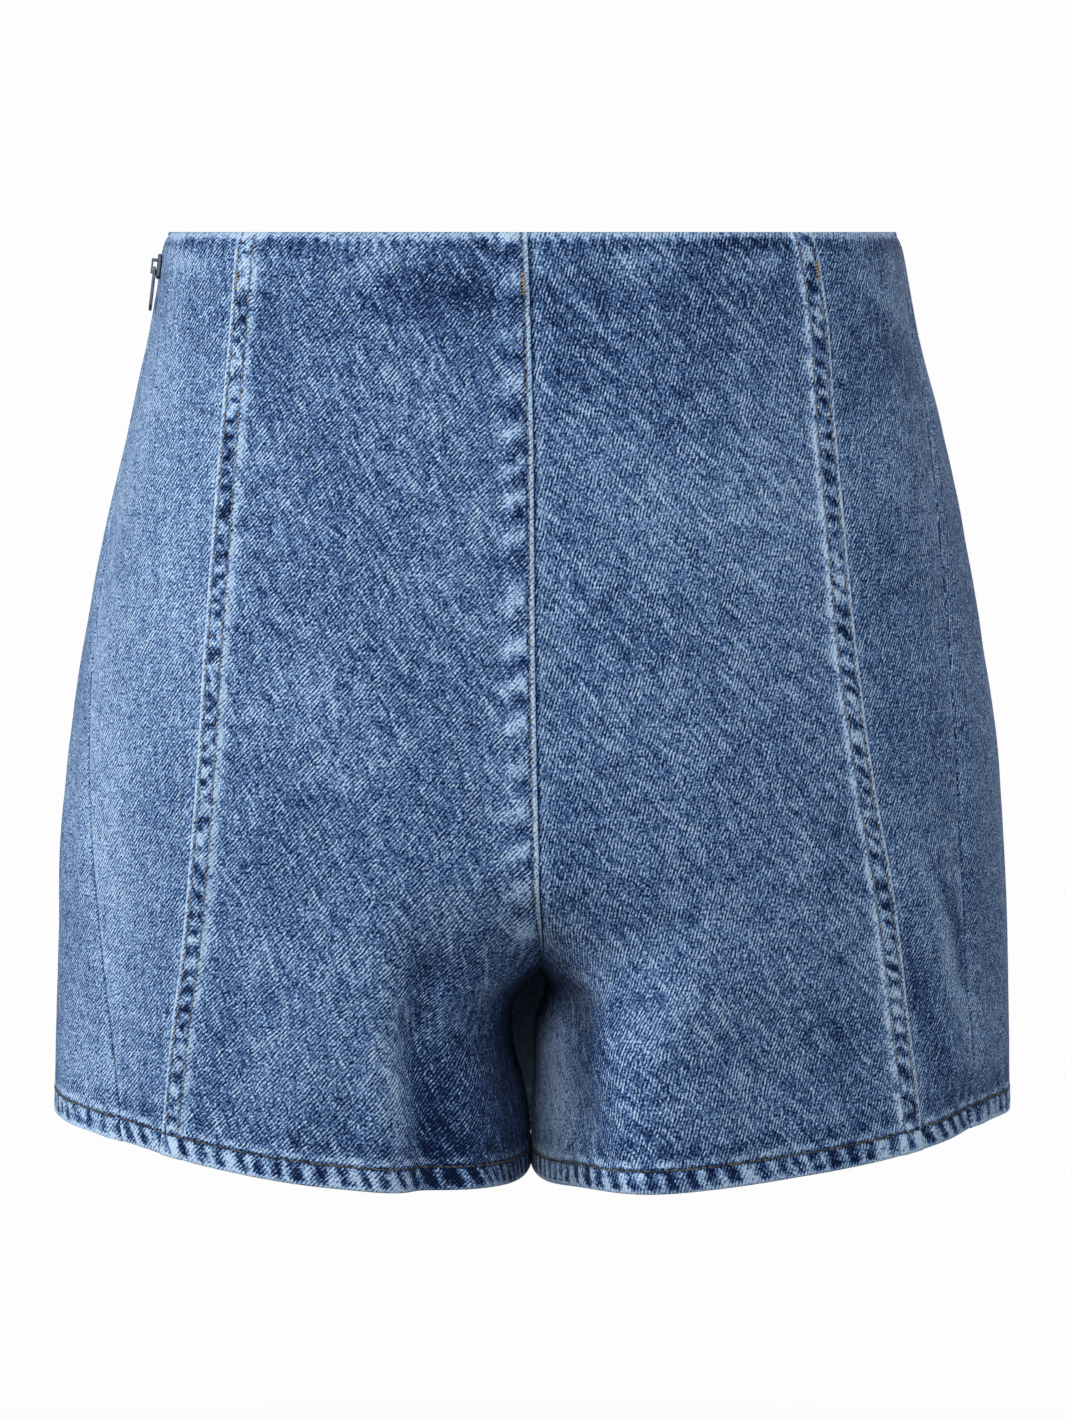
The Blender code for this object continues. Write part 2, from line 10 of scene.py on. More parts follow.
import bpy
import numpy as np
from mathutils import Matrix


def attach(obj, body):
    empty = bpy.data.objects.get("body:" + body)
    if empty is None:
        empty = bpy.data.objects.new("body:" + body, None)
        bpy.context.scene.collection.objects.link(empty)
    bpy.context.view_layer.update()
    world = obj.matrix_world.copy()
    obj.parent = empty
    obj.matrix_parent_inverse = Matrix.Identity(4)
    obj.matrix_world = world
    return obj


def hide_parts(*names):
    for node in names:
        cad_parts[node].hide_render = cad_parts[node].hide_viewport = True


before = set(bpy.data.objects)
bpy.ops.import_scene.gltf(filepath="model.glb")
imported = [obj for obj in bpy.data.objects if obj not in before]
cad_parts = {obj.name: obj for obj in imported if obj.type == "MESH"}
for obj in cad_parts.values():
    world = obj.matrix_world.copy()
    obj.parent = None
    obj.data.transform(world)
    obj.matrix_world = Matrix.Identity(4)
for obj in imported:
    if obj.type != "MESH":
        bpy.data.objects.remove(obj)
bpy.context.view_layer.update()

MM = 0.001

# The garment's own sizes. Its solids have them too, except for the sewing, the seams and the
# skirt's thin edges.
DENIM_WALL = 1.6 * MM
FRONT_WALL = 1.2 * MM
SKIRT_WALL = 1.3 * MM
HEM_WALL = 3.0 * MM
SKIRT_HEM_WALL = 2.4 * MM
FRONT_HEM_WALL = 2.2 * MM
HEM_TURN = 9 * MM
SIDE_SEAM_GAP = 0.1 * MM  # all other seams are shown sewn shut: neighbours share an edge
LAP_STEP = 0.9 * MM
CENTRE_LAP_STEP = 0.7 * MM
CENTRE_LAP_FADE = 35 * MM
CROTCH_LEVEL = 271 * MM
BEND_LEVEL = 225 * MM
CROTCH_DEPTH = 4 * MM
HEM_NOMINAL = 340 * MM
HEM_SIDE = 328 * MM
HEM_INSEAM = 347 * MM
INSEAM_DROP = 4 * MM
INSEAM_DROP_REACH = 12 * MM
SKIRT_HEM_CENTRE = 356 * MM
SKIRT_HEM_BLEND = (30 * MM, 120 * MM)
HEM_HALF_WIDTH = 178 * MM
HEM_SLOPE_LENGTH = 60 * MM
INSEAM_CLEAR = (1 * MM, 8 * MM)  # no relief this near to the other leg
BODY_POWER = 2.3
INNER_REACH = 62 * MM
CREASE_POWER = 1.25
INSEAM_POWER = 2.2
FOLD_CLEAR = (3 * MM, 14 * MM)
FOLD_DEPTHS = (12 * MM, 45 * MM)
FOLD_ENDS = (0.4, 0.85)
SKIRT_CLEARANCE = 0.4 * MM
SKIRT_STAND_OFF = 1.7 * MM
SKIRT_TAPER = 9 * MM  # the skirt thins to its seam allowance over this width at the side seams
SKIRT_EDGE_STAND = 0.3 * MM
SKIRT_EDGE_SHARE = 0.4  # share of the wall's thickness left at the seam
FRONT_INSET = 0.5 * MM
FRONT_INSET_DEEP = 1.2 * MM
FRONT_HEM_INSET = 1.4 * MM
FRONT_INSET_FADE = 20 * MM
FRONT_RELIEF_CLEAR = (10 * MM, 30 * MM)
EASE = (14 * MM, 34 * MM)  # the skirt and the fronts part over this distance from the side seam
ZIP_SLOT = 4.8 * MM
ZIP_SLOT_END = 20 * MM
ZIP_SLOT_CLOSED = 28 * MM
ZIP_SPACING = 0.35 * MM
ZIP_TOP = 4 * MM
ZIP_END = 158 * MM
RIB_PITCH = 1.1 * MM
RIB_SHIFT = 0.22 * MM  # the coil's ribs lie this much to the two sides by turns
RIB_RADIUS = 0.42 * MM
CHAIN_WIDTH = 4.0 * MM
CHAIN_SINK = (15 * MM, 20 * MM)  # the chain is flush with the cloth above these levels, inside it below

# Sewing sizes.
PRINCESS_BAND = (9.0 * MM, 9.8 * MM)  # a lapped princess seam stands out to here, from its edge
CENTRE_BAND = (9.0 * MM, 9.8 * MM)  # the same at the centre-back seam
EDGE_STITCH = 2.1 * MM  # first stitch line of a princess seam, in from its edge
SECOND_STITCH = 8.1 * MM
CENTRE_STITCH = 1.9 * MM  # edge stitch beside the centre-back seam
CENTRE_STITCH_END = BEND_LEVEL + 30 * MM
HEM_STITCH = 8.6 * MM  # stitch line above the hem's edge
WAIST_ROLL = 2.0 * MM  # how far the waist's edge curls in, and over what height
WAIST_ROLL_HEIGHT = 8 * MM
STITCH_PITCH = 2.9 * MM
THREAD_RADIUS = 0.33 * MM
STITCH_SHARE = 0.74  # share of the pitch that one stitch shows
HEM_STITCH_PITCH = 2.6 * MM
HEM_THREAD_RADIUS = 0.42 * MM
ROPE_PITCH = 7.6 * MM  # diagonal puckers of the hems
ROPE_LEAN = 0.85  # how far they lean sideways for each step down
ROPE_HEIGHT = 0.4 * MM
HEM_DITCH_DEPTH = 0.36 * MM
WAIST_PUCKER_HEIGHT = 0.12 * MM
PUCKER_PITCH = 7 * MM  # puckers between the two lines of a princess seam
CENTRE_PUCKER_PITCH = 15 * MM  # longer puckers beside the centre-back seam
DITCH = 0.6 * MM  # half width of the groove that a stitch line pulls
HEM_ROUNDING = 0.45  # edge radius as a share of the cloth's thickness, at the hem and the waist
TOP_ROUNDING = 0.44
INNER_RELIEF = 0.7  # share of the relief that shows on the inside
HEM_INSIDE = 0.25  # inside, the turned hem shows the cloth's face, a little duller
TACK_LEVELS = {"left": (15.5 * MM, 23.5 * MM), "centre": (16 * MM, 24.5 * MM), "right": (11.5 * MM, 19 * MM)}
TACK_PITCH = 1.2 * MM  # ochre bar tacks over the three back seams
TACK_RADIUS = 0.56 * MM
CREASE_WEAR_AND_SHADE = 0.07  # paleness of a crease for each millimetre of its height: paler on ridges as wear, darker in troughs as painted shade
DRAPE_CLEAR = (1 * MM, 8 * MM)  # unevenness fades in over this distance from a panel's long edges
SIDE_FADE_AND_LIGHT = 0.14  # paleness of the skirt at its left side seam, partly wash and partly painted light falling from the left, and how far that reaches
SIDE_FADE_AND_LIGHT_WIDTH = 50 * MM
TWILL_PITCH = 1.2 * MM
BACK_SEED, FRONT_SEED, TACK_SEED = 5, 9, 7
LATTICE = 97  # random values each way under the uneven heights


def named_columns(names, *rows):
    """A short table in millimetres as a dictionary of columns in metres."""
    return {name: np.array(column) * MM for name, column in zip(names.split(), zip(*rows))}


def rows_of(table):
    return zip(*table.values())


LINE = "x_top down_top x_bottom down_bottom half_width height"  # columns of lines down the cloth

OUTLINE = named_columns(
    "down half_width back_depth front_depth princess_left princess_right side_left side_right lean",
    (0, 137.0, 90, 92, 107.5, 102.5, 2, 6, -1.8),
    (30, 140.6, 96, 97, 109.5, 107.0, -5, -12, -0.8),
    (70, 149.4, 105, 102, 112.8, 109.5, -10, -29, 0.2),
    (110, 157.8, 113, 106, 115.8, 113.0, -17, -44, 0.6),
    (150, 165.0, 119, 109, 118.6, 116.8, -28, -54, 0.9),
    (190, 170.6, 122, 111, 121.0, 122.0, -43, -60, 1.5),
    (230, 173.8, 121, 113, 124.5, 128.5, -52, -61, 2.4),
    (270, 175.2, 118, 116, 128.8, 134.5, -58, -58, 2.6),
    (290, 175.5, 117, 117.5, 131.2, 137.2, -61, -55.5, -3.6),
    (312, 175.9, 116, 119, 133.8, 140.0, -64, -53, -1.4),
    (360, 177.0, 115, 122, 138.5, 144.5, -69, -48, -0.4),
)
# How far the inner legs stand from the centre: near the hem, less than in the solids.
INNER_LEG = named_columns(
    "down stand_off",
    (271, 0.15), (276, 4.2), (282, 5.2), (290, 4.3), (302, 3.2), (314, 1.2), (324, 0.3),
    (336, 0.15), (360, 0.15),
)
BACK_FOLDS = named_columns(
    LINE,
    (-43, 232, -31, 372, 10, -8.0),
    (-14, 262, -21, 372, 11, 3.0),
    (26, 250, 40, 350, 14, 3.0),
    (14, 262, 19, 330, 8, -3.0),
    (-75, 246, -92, 360, 20, 2.0),
    (128, 200, 168, 330, 11, 3.5),
    (146, 235, 176, 372, 12, -3.0),
    (-150, 190, -146, 372, 17, -2.0),
    (82, 262, 104, 372, 18, -1.8),
)
FRONT_FOLDS = named_columns(
    LINE,
    (-62, 205, -88, 390, 17, 4.5),
    (-24, 250, -34, 390, 15, -3.5),
    (12, 225, 14, 390, 16, 3.5),
    (48, 240, 66, 390, 15, -4.0),
    (84, 190, 118, 390, 17, 4.5),
    (-112, 235, -138, 390, 15, -3.0),
    (138, 225, 156, 390, 13, -2.5),
)

# Small creases, each a soft ridge (+) or trough (-) between two points of the cloth.
BACK_CREASES = named_columns(
    LINE,
    (2, 12, 30, 34, 2.2, 0.5),
    (118, 10, 142, 40, 5, 0.9),
    (112, 26, 128, 62, 4, -0.7),
    (-128, 8, -134, 60, 4, 0.6),
    (-121, 20, -124, 70, 4, -0.5),
    (-10, 268, -40, 276, 5, 0.9),
    (-8, 262, -52, 262, 6, -0.7),
    (6, 262, 44, 284, 5, 0.9),
    (6, 270, 34, 300, 5, -0.8),
    (10, 256, 62, 268, 7, 0.6),
    (-60, 296, -72, 332, 6, -0.8),
    (-96, 250, -104, 325, 8, 0.7),
    (-112, 282, -110, 328, 5, -0.6),
    (62, 300, 74, 332, 6, 0.6),
    (108, 268, 120, 330, 7, -0.8),
    (150, 280, 158, 332, 4, 0.9),
    (158, 250, 164, 330, 4, -0.8),
    (-158, 246, -156, 330, 5, 0.7),
    (-168, 262, -166, 330, 4, -0.7),
    (-22, 292, -26, 332, 4, 0.7),
)
FRONT_CREASES = named_columns(
    LINE,
    (-118, 12, -140, 44, 5, 0.8),
    (120, 14, 138, 50, 5, 0.8),
    (-30, 190, -44, 260, 8, 0.9),
    (22, 196, 30, 268, 8, -0.8),
    (-100, 210, -112, 300, 7, 0.8),
    (104, 205, 120, 300, 8, 0.9),
    (-8, 250, -10, 330, 6, -0.7),
    (66, 262, 78, 335, 6, 0.8),
    (-72, 270, -84, 338, 6, -0.8),
)

# Washed-out (+) and darker (-) places of the back, as soft ovals. The pale ovals far out on the left are
# partly wash and partly painted light falling from the left. Paleness is in thousandths.
FADES_AND_PAINTED_LIGHT = named_columns(
    "x down reach_x reach_down paleness",
    (-133, 60, 24, 70, 120),
    (-152, 190, 26, 120, 90),
    (-70, 170, 55, 90, 30),
    (60, 190, 55, 80, 30),
    (-50, 26, 70, 26, -60),
    (60, 26, 70, 26, -70),
    (140, 190, 26, 150, 20),
    (-20, 20, 38, 10, -210),
    (12, 18, 14, 8, -130),
    (-163, 190, 16, 130, 160),
    (78, 90, 34, 36, 100),
    # painted shade: the dark oval in the recess at the crotch
    (-1, 269, 9, 7, -420),
)

# Long paler ridges (+) and darker valleys (-) down the cloth: mostly painted light and painted shade on folds
# that turn to or from the light, with some worn ridges. Here height is paleness, in thousandths.
PAINTED_LIGHT_AND_WEAR = named_columns(
    LINE,
    (137, 216, 171, 334, 3.8, 280),
    (144, 220, 178, 334, 4.5, -210),
    (147, 215, 184, 318, 3.0, 200),
    (126, 236, 158, 334, 4, -170),
    (-41, 250, -28, 366, 5, -320),
    (-51, 258, -45, 350, 4, 150),
    (-24, 256, -20, 376, 12, -230),
    (-8, 258, -11, 372, 7, -220),
    (4, 262, 27, 300, 5, -190),
    (11, 268, 8, 356, 6, 330),
    (27, 262, 26, 310, 7, -90),
    (-38, 280, -36, 352, 4, 120),
    (1, 6, 27, 36, 2.2, 260),
    (114, 4, 142, 44, 4, 160),
    (120, 20, 150, 66, 6, -120),
    (-10, 262, -50, 300, 5, 120),
    (-96, 12, -104, 60, 6, -90),
)

TORSO_PITCH = 2.6 * MM  # height of a row of the back's shells
UNDER_PITCH = 1.3 * TORSO_PITCH  # the same for the fronts and the skirt
BEND_ROWS = 20
LEG_ROWS, UNDER_LEG_ROWS = 24, 18
TOP_ROWS = (0, 0.15, 0.45, 0.9, 1.6, 2.6, 4, 5.6, 7.4)
HEM_ROWS = (15, 12.8, 11.2, 10.2, 9.5, 9.1, 8.8, 8.6, 8.3, 7.9, 7.2, 6.2, 5.2, 4.2, 3.2, 2.3, 1.5, 0.9, 0.4,
            0.15, 0)
EDGE_COLUMNS = (0, 0.15, 0.45, 0.9, 1.5, 2.2)
BAND_COLUMNS = (0, 0.15, 0.45, 0.9, 1.4, 1.8, 2.1, 2.4, 2.9, 3.6, 4.4, 5.2, 6.0, 6.8, 7.4, 7.8, 8.1, 8.4,
                8.8, 9.4, 9.9, 10.8, 12.2)
CENTRE_COLUMNS = (0, 0.15, 0.45, 0.9, 1.3, 1.6, 1.9, 2.2, 2.7, 3.4, 4.6, 6.0, 7.4, 9.0, 9.8, 11.2)
COLUMN_COUNTS = {"back": (78, 38), "side_back": (38,), "front": (56, 40), "skirt": (84, 38)}
SECTION_POINTS = 200


def fine_levels(torso_pitch, leg_rows):
    """Levels of the rows, close together at the waist edge, the bend to the crotch and the hem."""
    top = [level * MM for level in TOP_ROWS]
    torso = np.linspace(top[-1], BEND_LEVEL, int((BEND_LEVEL - top[-1]) / torso_pitch))[1:-1]
    angles = np.linspace(0.0, math.pi / 2, BEND_ROWS)
    bend = BEND_LEVEL + (CROTCH_LEVEL - BEND_LEVEL) * np.sin(angles)
    leg = np.linspace(CROTCH_LEVEL, HEM_NOMINAL - HEM_ROWS[0] * MM, leg_rows)[1:-1]
    hem = [HEM_NOMINAL - height * MM for height in HEM_ROWS]
    return np.concatenate((top, torso, bend, leg, hem))


def along(table, name, down):
    """A smooth curve through one column of a table, read at a level."""
    levels, values = table["down"], table[name]
    slopes = np.gradient(values, levels)
    row = int(np.clip(np.searchsorted(levels, down) - 1, 0, len(levels) - 2))
    height = levels[row + 1] - levels[row]
    t = (down - levels[row]) / height
    return ((1 + 2 * t) * (1 - t) ** 2 * values[row] + t * (1 - t) ** 2 * height * slopes[row]
            + t * t * (3 - 2 * t) * values[row + 1] + t * t * (t - 1) * height * slopes[row + 1])


def smooth(value, low, high):
    """0 below low, 1 above high, and a smooth rise between them."""
    t = np.clip((value - low) / (high - low), 0.0, 1.0)
    return t * t * (3.0 - 2.0 * t)


def fade(value, low, high):
    """1 below low, 0 above high, and a smooth fall between them."""
    return 1.0 - smooth(value, low, high)


def plateau(value, start, full, fall, end):
    """0 up to start, 1 from full to fall, and 0 again from end."""
    return smooth(value, start, full) * fade(value, fall, end)


def bell(distance, half_width):
    """1 at a line, falling smoothly to both sides of it."""
    return np.exp(-(distance / half_width) ** 2)


def turned_in(down):
    """Share of the way that the centre seams have turned in to the crotch point, 0 to 1."""
    share = np.clip((down - BEND_LEVEL) / (CROTCH_LEVEL - BEND_LEVEL), 0.0, 1.0)
    return 1.0 - math.sqrt(1.0 - share * share)


def with_normals(x, y):
    """A plan curve as arc length, points and outward unit normals."""
    steps = np.hypot(np.diff(x), np.diff(y))
    keep = np.concatenate(([True], steps > 1e-9))
    x, y = x[keep], y[keep]
    arc = np.concatenate(([0.0], np.cumsum(np.hypot(np.diff(x), np.diff(y)))))
    tangent_x, tangent_y = np.gradient(x, arc), np.gradient(y, arc)
    length = np.hypot(tangent_x, tangent_y)
    return {"arc": arc, "x": x, "y": y, "nx": tangent_y / length, "ny": -tangent_x / length}


@functools.lru_cache(maxsize=None)
def half_section(down, notched=True):
    """Plan curve of one half at a level, from centre back round the side to centre front.

    Where notched, it turns in to the crotch and closes round the leg below it.
    """
    half_width = along(OUTLINE, "half_width", down)
    back, front = along(OUTLINE, "back_depth", down), along(OUTLINE, "front_depth", down)
    turn = turned_in(down) if notched else 0.0
    start_x = along(INNER_LEG, "stand_off", down) if notched and down > CROTCH_LEVEL else 0.0
    power = CREASE_POWER + (INSEAM_POWER - CREASE_POWER) * turn

    angle = np.linspace(0.0, math.pi / 2, SECTION_POINTS)
    inner_x = INNER_REACH - (INNER_REACH - start_x) * np.cos(angle) ** (2 / power)
    inner_x[-1] = INNER_REACH
    inner_share = 1.0 - turn * (1.0 - np.sin(angle) ** (2 / power))
    inner_bulge = (1.0 - (inner_x / half_width) ** BODY_POWER) ** (1 / BODY_POWER)

    reach_angle = math.asin((INNER_REACH / half_width) ** (BODY_POWER / 2))
    angle = np.linspace(reach_angle, math.pi / 2, SECTION_POINTS)
    outer_x = half_width * np.sin(angle) ** (2 / BODY_POWER)
    outer_bulge = np.clip(np.cos(angle), 0.0, 1.0) ** (2 / BODY_POWER)
    outer_bulge[-1] = 0.0

    x = np.concatenate((inner_x, outer_x[1:]))
    bulge = np.concatenate((inner_bulge, outer_bulge[1:]))
    share = np.concatenate((inner_share, np.ones(len(outer_x) - 1)))
    back_y = CROTCH_DEPTH * (1 - share) - back * bulge * share
    front_y = CROTCH_DEPTH * (1 - share) + front * bulge * share
    plan_x = np.concatenate((x, x[-2::-1]))
    section = with_normals(plan_x, np.concatenate((back_y, front_y[-2::-1])))
    section["widest"] = int(np.argmax(section["x"]))
    section["reach_arc"] = arc_at_width(section, INNER_REACH)
    last = section["widest"]
    section["front_reach_arc"] = float(np.interp(-INNER_REACH, -section["x"][last:], section["arc"][last:]))
    return section


def read_section(section, arc):
    """Points and normals of a plan curve at given arc lengths."""
    x, y, nx, ny = (np.interp(arc, section["arc"], section[name]) for name in ("x", "y", "nx", "ny"))
    length = np.hypot(nx, ny)
    return x, y, nx / length, ny / length


def arc_at_width(section, x):
    """Arc length where the back of a section is a given distance out from the centre."""
    last = section["widest"]
    return float(np.interp(x, section["x"][:last], section["arc"][:last]))


def arc_at_depth(section, y):
    """Arc length where the side of a section is a given distance behind or in front."""
    near_side = section["x"] > INNER_REACH
    return float(np.interp(y, section["y"][near_side], section["arc"][near_side]))


def side_name(side):
    return "left" if side < 0 else "right"


def princess_arc(section, side, down):
    return arc_at_width(section, along(OUTLINE, "princess_" + side_name(side), down))


def side_arc(section, side, down):
    return arc_at_depth(section, along(OUTLINE, "side_" + side_name(side), down))


def side_half_gap(side, down):
    """Half the gap at a side seam. The left one opens for the zip's chain."""
    closed = SIDE_SEAM_GAP / 2
    if side > 0:
        return closed
    return closed + (ZIP_SLOT / 2 - closed) * fade(down, ZIP_SLOT_END, ZIP_SLOT_CLOSED)


def fold_height(folds, x, down):
    """Height of all folds of a table at a point of the cloth."""
    height = np.zeros_like(x)
    for x_top, top, x_bottom, bottom, half_width, peak in rows_of(folds):
        t = (down - top) / (bottom - top)
        across = x - (x_top + (x_bottom - x_top) * t)
        ends = plateau(t, 0.0, *FOLD_ENDS, 1.0)
        height += peak * bell(across, half_width) * ends
    return height


def leg_hem(x):
    """Middle level of the legs' hem curve for points at x."""
    return HEM_INSEAM + INSEAM_DROP * np.exp(-(x / INSEAM_DROP_REACH) ** 2)


def skirt_hem(from_seam):
    """Middle level of the skirt's hem curve: that of the legs at the side seam, lower at the front."""
    return HEM_INSEAM + (SKIRT_HEM_CENTRE - HEM_INSEAM) * smooth(from_seam, *SKIRT_HEM_BLEND)


def hem_shift(x, down, centre_level):
    """How far a point moves down so that the last level follows the hem's slope."""
    hem = HEM_SIDE + (centre_level - HEM_SIDE) * np.clip(1.0 - (x / HEM_HALF_WIDTH) ** 2, 0.0, 1.0)
    return (hem - HEM_NOMINAL) * smooth(down, CROTCH_LEVEL - HEM_SLOPE_LENGTH, HEM_NOMINAL)


def place(points, side, down, hem_level=None):
    """World points and normals for section points, on the left (-1) or the right (+1)."""
    x, y, nx, ny = points
    hem_level = leg_hem(x) if hem_level is None else hem_level
    half_width = along(OUTLINE, "half_width", down)
    world_x = side * x
    clear_of_centre = smooth(x, *FOLD_CLEAR)
    height = clear_of_centre * (fold_height(BACK_FOLDS, world_x, down) * smooth(-y, *FOLD_DEPTHS)
                                + fold_height(FRONT_FOLDS, world_x, down) * smooth(y, *FOLD_DEPTHS))
    lean = along(OUTLINE, "lean", down) * np.clip(1.0 - x / half_width, 0.0, 1.0) ** 2
    level = down + hem_shift(x, down, hem_level)
    spots = np.stack((world_x + side * nx * height + lean, y + ny * height, -level), axis=-1)
    normals = np.stack((side * nx, ny, np.zeros_like(nx)), axis=-1)
    return spots, normals


def spread(low, high, start_offsets, end_offsets, counts, middle=None):
    """Arc lengths across a panel: at named offsets in mm from its two edges, and evenly in between."""
    start, end = low + np.array(start_offsets) * MM, high - (np.array(end_offsets) * MM)[::-1]
    stops = [start[-1], end[0]] if middle is None else [start[-1], middle, end[0]]
    runs = [np.linspace(a, b, count)[1:] for a, b, count in zip(stops, stops[1:], counts)]
    return np.concatenate((start, *runs[:-1], runs[-1][:-1], end))


def back_columns(section, side, down):
    """Columns of a back panel, and how far each stands out as part of a lapped seam band."""
    high = princess_arc(section, side, down)
    arcs = spread(0.0, high, CENTRE_COLUMNS, BAND_COLUMNS, COLUMN_COUNTS["back"], section["reach_arc"])
    lap = LAP_STEP * fade(high - arcs, *PRINCESS_BAND)
    if side < 0:
        above_bend = fade(down, BEND_LEVEL - CENTRE_LAP_FADE, BEND_LEVEL)
        lap += CENTRE_LAP_STEP * above_bend * fade(arcs, *CENTRE_BAND)
    return arcs, lap


def side_back_columns(section, side, down):
    low = princess_arc(section, side, down)
    high = side_arc(section, side, down) - side_half_gap(side, down)
    arcs = spread(low, high, EDGE_COLUMNS, EDGE_COLUMNS, COLUMN_COUNTS["side_back"])
    return arcs, np.zeros(len(arcs))


def front_columns(section, side, down):
    """Columns of a shorts front, set inwards to leave room for the skirt over it."""
    seam, high = side_arc(section, side, down), section["arc"][-1]
    arcs = spread(seam + side_half_gap(side, down), high, EDGE_COLUMNS, EDGE_COLUMNS,
                  COLUMN_COUNTS["front"], section["front_reach_arc"])
    inset = (FRONT_INSET + FRONT_INSET_DEEP * smooth(arcs - seam, *EASE)
             + FRONT_HEM_INSET * smooth(down, HEM_NOMINAL - HEM_TURN - 2 * MM, HEM_NOMINAL - HEM_TURN))
    centre = smooth(high - arcs, 0.0, FRONT_INSET_FADE)
    return arcs, -inset * (centre if down > BEND_LEVEL else 1.0)


def skirt_columns(section, side, down):
    """Columns of half the skirt, from the side seam to the centre, standing off the shorts."""
    seam = side_arc(section, side, down)
    low = seam + side_half_gap(side, down)
    arcs = spread(low, section["arc"][-1], EDGE_COLUMNS, (0,), COLUMN_COUNTS["skirt"],
                  section["front_reach_arc"])
    taper = smooth(arcs - low, 0.0, SKIRT_TAPER)
    stand = (SKIRT_EDGE_STAND + (SKIRT_CLEARANCE + SKIRT_WALL - SKIRT_EDGE_STAND) * taper
             + SKIRT_STAND_OFF * smooth(arcs - seam, *EASE))
    return arcs, stand


def half_cloth(side, levels, columns, notched=True, faces_front=False):
    """One half's outer points by row and column, with what its relief and its paleness, worn and painted, are
    worked out from.
    """
    rows = []
    for down in levels:
        section = half_section(float(down), notched)
        arcs, lap = columns(section, side, float(down))
        points = read_section(section, arcs)
        hem_level = None if notched else skirt_hem(arcs - side_arc(section, side, float(down)))
        spots, normals = place(points, side, float(down), hem_level)
        if faces_front:
            across = -side * (INNER_REACH - (arcs - section["front_reach_arc"]))
        else:
            across = side * (INNER_REACH + arcs - section["reach_arc"])
        rows.append((spots, normals, across, lap, arcs - arcs[0], arcs[-1] - arcs, side * points[0]))
    names = ("spots", "normals", "across", "lap", "from_low", "from_high", "x")
    cloth = {name: np.array([row[index] for row in rows]) for index, name in enumerate(names)}
    cloth["level"] = np.repeat(np.array(levels)[:, None], cloth["x"].shape[1], axis=1)
    cloth["above_hem"] = HEM_NOMINAL - cloth["level"]
    cloth["apart"] = smooth(np.abs(cloth["x"]), *INSEAM_CLEAR) if notched else 0 * cloth["x"] + 1
    return cloth


def joined_halves(left, right):
    """The skirt's two halves as one sheet, from the left side seam to the right one."""
    cloth = {name: np.concatenate((left[name], right[name][:, -2::-1]), axis=1) for name in left}
    width = left["from_low"][:, -1:] + right["from_low"][:, -1:]
    cloth["from_low"] = np.concatenate((left["from_low"], width - right["from_low"][:, -2::-1]), axis=1)
    cloth["from_high"] = width - cloth["from_low"]
    return cloth


@functools.lru_cache(maxsize=None)
def lattice(seed):
    return np.random.default_rng(seed).uniform(-1.0, 1.0, (LATTICE, LATTICE))


def uneven(size, seed, u, v=0.0):
    """Smooth random heights over the cloth, about -1 to 1, with swells of a given size."""
    table = lattice(seed)
    i, j = np.floor(u / size).astype(int), np.floor(v / size).astype(int)
    s, t = u / size - i, v / size - j
    s, t = s * s * (3 - 2 * s), t * t * (3 - 2 * t)
    near = [[table[(i + a) % LATTICE, (j + b) % LATTICE] for a in (0, 1)] for b in (0, 1)]
    return (near[0][0] * (1 - s) + near[0][1] * s) * (1 - t) + (near[1][0] * (1 - s) + near[1][1] * s) * t


def uneven_wave(position, pitch, seed):
    """About one crest in each pitch, uneven in spacing and height, from -1 to 1."""
    drift = uneven(2.3 * pitch, seed, position)
    height = 0.7 + 0.3 * uneven(1.6 * pitch, seed, position, pitch)
    return height * np.sin(2 * math.pi * (position / pitch + 0.5 * drift))


def crease_height(creases, x, down):
    """Height of the small creases: each fades to nothing at its two ends."""
    height = np.zeros_like(x)
    for x_top, top, x_bottom, bottom, half_width, peak in rows_of(creases):
        run_x, run_down = x_bottom - x_top, bottom - top
        length = math.hypot(run_x, run_down)
        t = ((x - x_top) * run_x + (down - top) * run_down) / length ** 2
        away = ((x - x_top) * run_down - (down - top) * run_x) / length
        ends = np.sin(math.pi * np.clip(t, 0.0, 1.0)) ** 0.8
        height += peak * bell(away, half_width) * ends
    return height


def hem_finish(cloth, seed):
    """Roping, stitch ditch and worn edge of a turned hem: relief in metres, and paleness, with painted shade
    in the ditch and in a band above the stitches.
    """
    above, across = cloth["above_hem"], cloth["across"]
    lean = ROPE_LEAN * (0.6 + 0.5 * uneven(45 * MM, seed + 4, across))
    position = across - lean * (HEM_STITCH - above)
    rope = (0.8 * uneven_wave(position, ROPE_PITCH, seed)
            + 0.3 * uneven_wave(position, 0.47 * ROPE_PITCH, seed + 11))
    ridge = smooth(rope + 0.25 * uneven(2.2 * MM, seed + 5, across, above), -0.6, 0.6)
    broad = uneven(17 * MM, seed + 3, across, above)
    fine = uneven(1.6 * MM, seed + 9, across, above)
    band = plateau(above, 0.6 * MM, 2.0 * MM, 7.6 * MM, 8.5 * MM)
    ditch = bell(above - HEM_STITCH, 1.2 * DITCH)
    relief = (ROPE_HEIGHT * rope * band - HEM_DITCH_DEPTH * ditch) * cloth["apart"]
    edge = fade(above, 0.9 * MM, 2.4 * MM)
    patches = smooth(uneven_wave(across, 11 * MM, seed + 1), -0.9, 0.6)
    flank = plateau(above, 9.3 * MM, 9.9 * MM, 10.8 * MM, 12.6 * MM) * patches
    shade = plateau(above, 11.5 * MM, 13.5 * MM, 15 * MM, 21 * MM) * patches
    # the shade and ditch terms are painted shade: a darker band above the flank and a darker stitch groove
    paleness = ((0.88 * ridge - 0.42 + 0.2 * broad + 0.16 * fine) * band + (0.46 + 0.2 * broad) * edge
                + 0.34 * flank - 0.2 * shade - 0.3 * ditch)
    return relief, paleness


